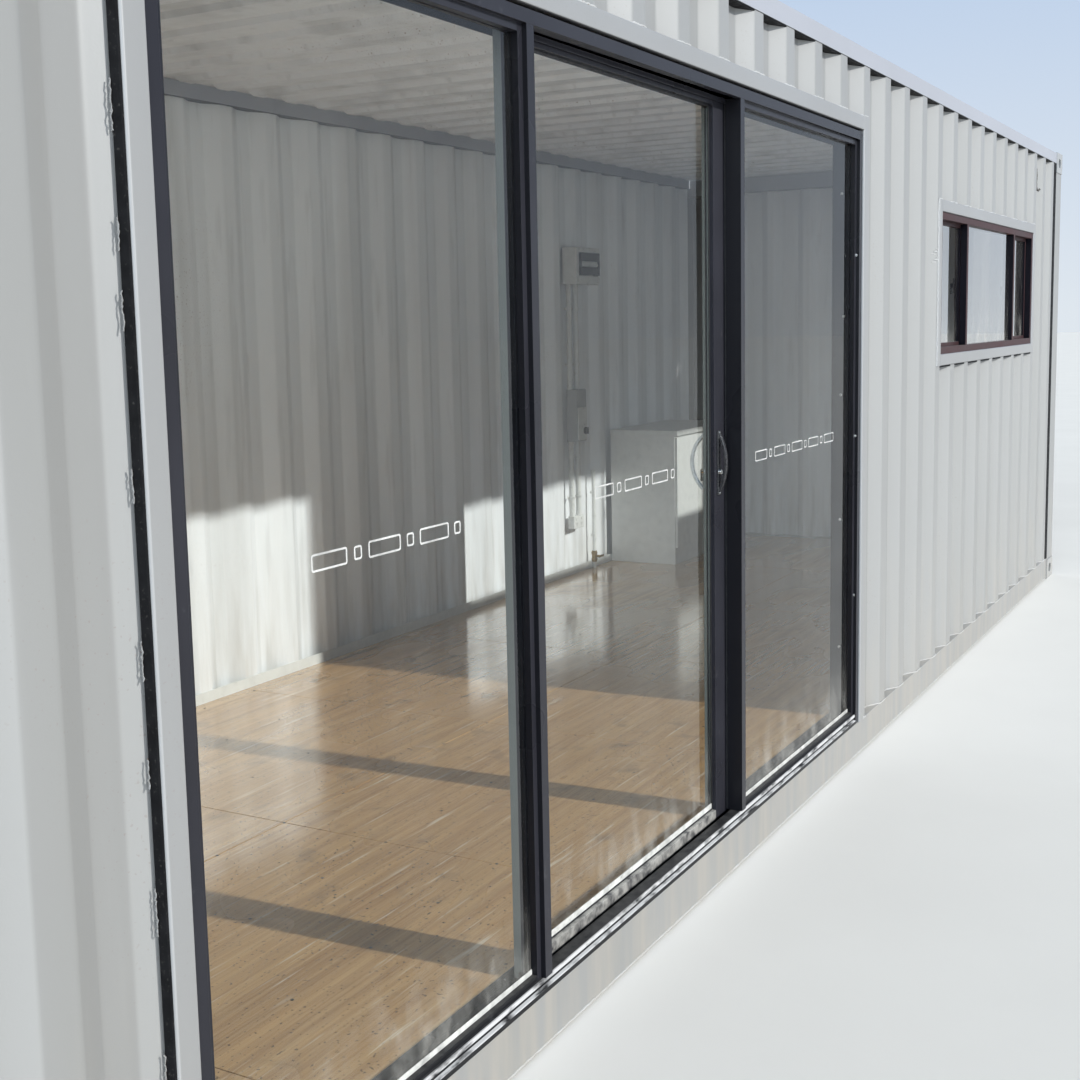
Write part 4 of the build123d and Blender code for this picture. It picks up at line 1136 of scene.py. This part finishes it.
add_solids("handle_catches", 0.0015, rod_paint, slot="frame_paint", blocks=[
    block for tip in (y - math.copysign(handle_length, y) for y in rod_places) for block in (
        slab((leaf_face - 0.004, leaf_face + 0.001), about(tip, 0.035), (1.085, 1.215)),
        slab((leaf_face - 0.030, leaf_face - 0.003), about(tip, 0.018), (1.112, 1.127)),
        slab((leaf_face - 0.041, leaf_face - 0.029), about(tip, 0.018), (1.112, 1.140)),
    )
])
grow(
    "bracket_bolts", stud_tree, rod_paint,
    {"Radius": 0.0085, "Height": 0.007, "Direction": (-1.0, 0.0, 0.0), "Seed": 21},
    points=[
        (leaf_face - 0.005, across, upwards) for y in rod_places for z in bracket_heights
        for across in about(y, 0.040) for upwards in about(z, 0.011)
    ],
)
hinge_count = 4
hinge_middle, hinge_pitch = (rod_low[2] + rod_high[2]) / 2, (rod_high[2] - rod_low[2]) / hinge_count
hinge_reach = hinge_pitch * (hinge_count - 1) / 2
add_solids("hinge_pins", 0.0012, worn_metal("greased_steel", (0.20, 0.19, 0.18)), bars=[
    ((leaf_face - 0.010, y, z - 0.054), (leaf_face - 0.010, y, z + 0.054), 0.0075)
    for y in (0.012 - leaf_edge, leaf_edge - 0.012) for z in evenly(*about(hinge_middle, hinge_reach), hinge_count)
])

# Gaskets of the cargo doors
# A black rubber lip runs round each leaf and closes the gap to the frame and to the other leaf.
lip_depth = (leaf_face + 0.010, leaf_face + 0.030)
lip_low, lip_high = leaf_low[2] - 0.0115, leaf_high[2] + 0.0115
add_solids("cargo_gaskets", 0.002, rubber, blocks=[
    slab(lip_depth, side, ends) for side in ((-leaf_edge - 0.001, -0.0005), (0.0005, leaf_edge + 0.001))
    for ends in ((leaf_high[2] - 0.001, lip_high), (lip_low, leaf_low[2] + 0.001))
] + [
    slab(lip_depth, about(y, 0.0058), (lip_low, lip_high)) for y in (0.0, 0.0060 - leaf_edge, leaf_edge - 0.0060)
])

# Studio: a pale floor, a soft light from the front and above, and the photograph's viewpoint
studio_paint, shader, place = new_finish("studio_floor")
floor_tone = blend_colours(patches(place, 0.9, 3.0), (0.84, 0.83, 0.80), (0.87, 0.86, 0.83))
fill(shader, {"Base Color": floor_tone, "Roughness": 0.9})
floor_mesh = bpy.data.meshes.new("studio_floor")
half_floor, floor_height = 120.0, -0.0005
floor_mesh.from_pydata(
    [(x * half_floor, y * half_floor, floor_height) for x, y in ((-1, -1), (1, -1), (1, 1), (-1, 1))], [],
    [(0, 1, 2, 3)],
)
floor_mesh.materials.append(studio_paint)
studio_floor = bpy.data.objects.new("studio_floor", floor_mesh)
bpy.context.scene.collection.objects.link(studio_floor)

world = bpy.data.worlds.new("studio")
bpy.context.scene.world = world
world.use_nodes = True
world_tree = world.node_tree
air = world_tree.nodes["Background"]
fill(air, {"Color": (0.62, 0.80, 1.0, 1.0), "Strength": 0.22})
elevation = axis(layer(world_tree, "ShaderNodeTexCoord", out="Generated"), "Z")
sky = blend_colours(between(elevation, 0.0, 0.36), (0.74, 0.80, 0.86), (0.38, 0.54, 0.80))
backdrop = layer(world_tree, "ShaderNodeBackground", {"Color": sky, "Strength": 1.0})
rays = layer(world_tree, "ShaderNodeLightPath").node.outputs
mirrored = maths("MAXIMUM", rays["Is Glossy Ray"], rays["Is Transmission Ray"])
seen = maths("MAXIMUM", rays["Is Camera Ray"], mirrored)
fill(world_tree.nodes["World Output"], {"Surface": mixed(seen, air.outputs[0], backdrop)})

for name, towards, strength, spread, colour in (
    ("key", (-0.056, 1.0, -0.563), 3.2, 1.2, (1.0, 0.985, 0.955)),
    ("side", (1.0, 0.22, -0.30), 2.3, 45.0, (0.80, 0.90, 1.0)),
    ("back", (-0.5, -1.0, -1.1), 0.5, 40.0, (1.0, 1.0, 1.0)),
):
    lamp = bpy.data.lights.new(name, "SUN")
    lamp.color = colour
    lamp.energy = strength
    lamp.angle = math.radians(spread)
    lamp_object = bpy.data.objects.new(name, lamp)
    lamp_object.rotation_euler = Vector(towards).to_track_quat("-Z", "Y").to_euler()
    bpy.context.scene.collection.objects.link(lamp_object)

camera = bpy.data.cameras.new("camera")
camera.sensor_width = 36.0
camera.lens = 47.405
camera.shift_x = 0.01185
camera.shift_y = -0.0335
camera.clip_end = 300.0
yaw, pitch, roll = math.radians(60.468), math.radians(-7.227), math.radians(-1.220)
forward = Vector((math.sin(yaw) * math.cos(pitch), math.cos(yaw) * math.cos(pitch), math.sin(pitch)))
level_right = Vector((math.cos(yaw), -math.sin(yaw), 0.0))
level_up = level_right.cross(forward)
right = level_right * math.cos(roll) + level_up * math.sin(roll)
up = right.cross(forward)
camera_object = bpy.data.objects.new("camera", camera)
camera_object.matrix_world = Matrix.Translation((-3.242, -2.707, 1.642)) @ Matrix(
    ((right.x, up.x, -forward.x), (right.y, up.y, -forward.y), (right.z, up.z, -forward.z))
).to_4x4()
bpy.context.scene.collection.objects.link(camera_object)
bpy.context.scene.camera = camera_object
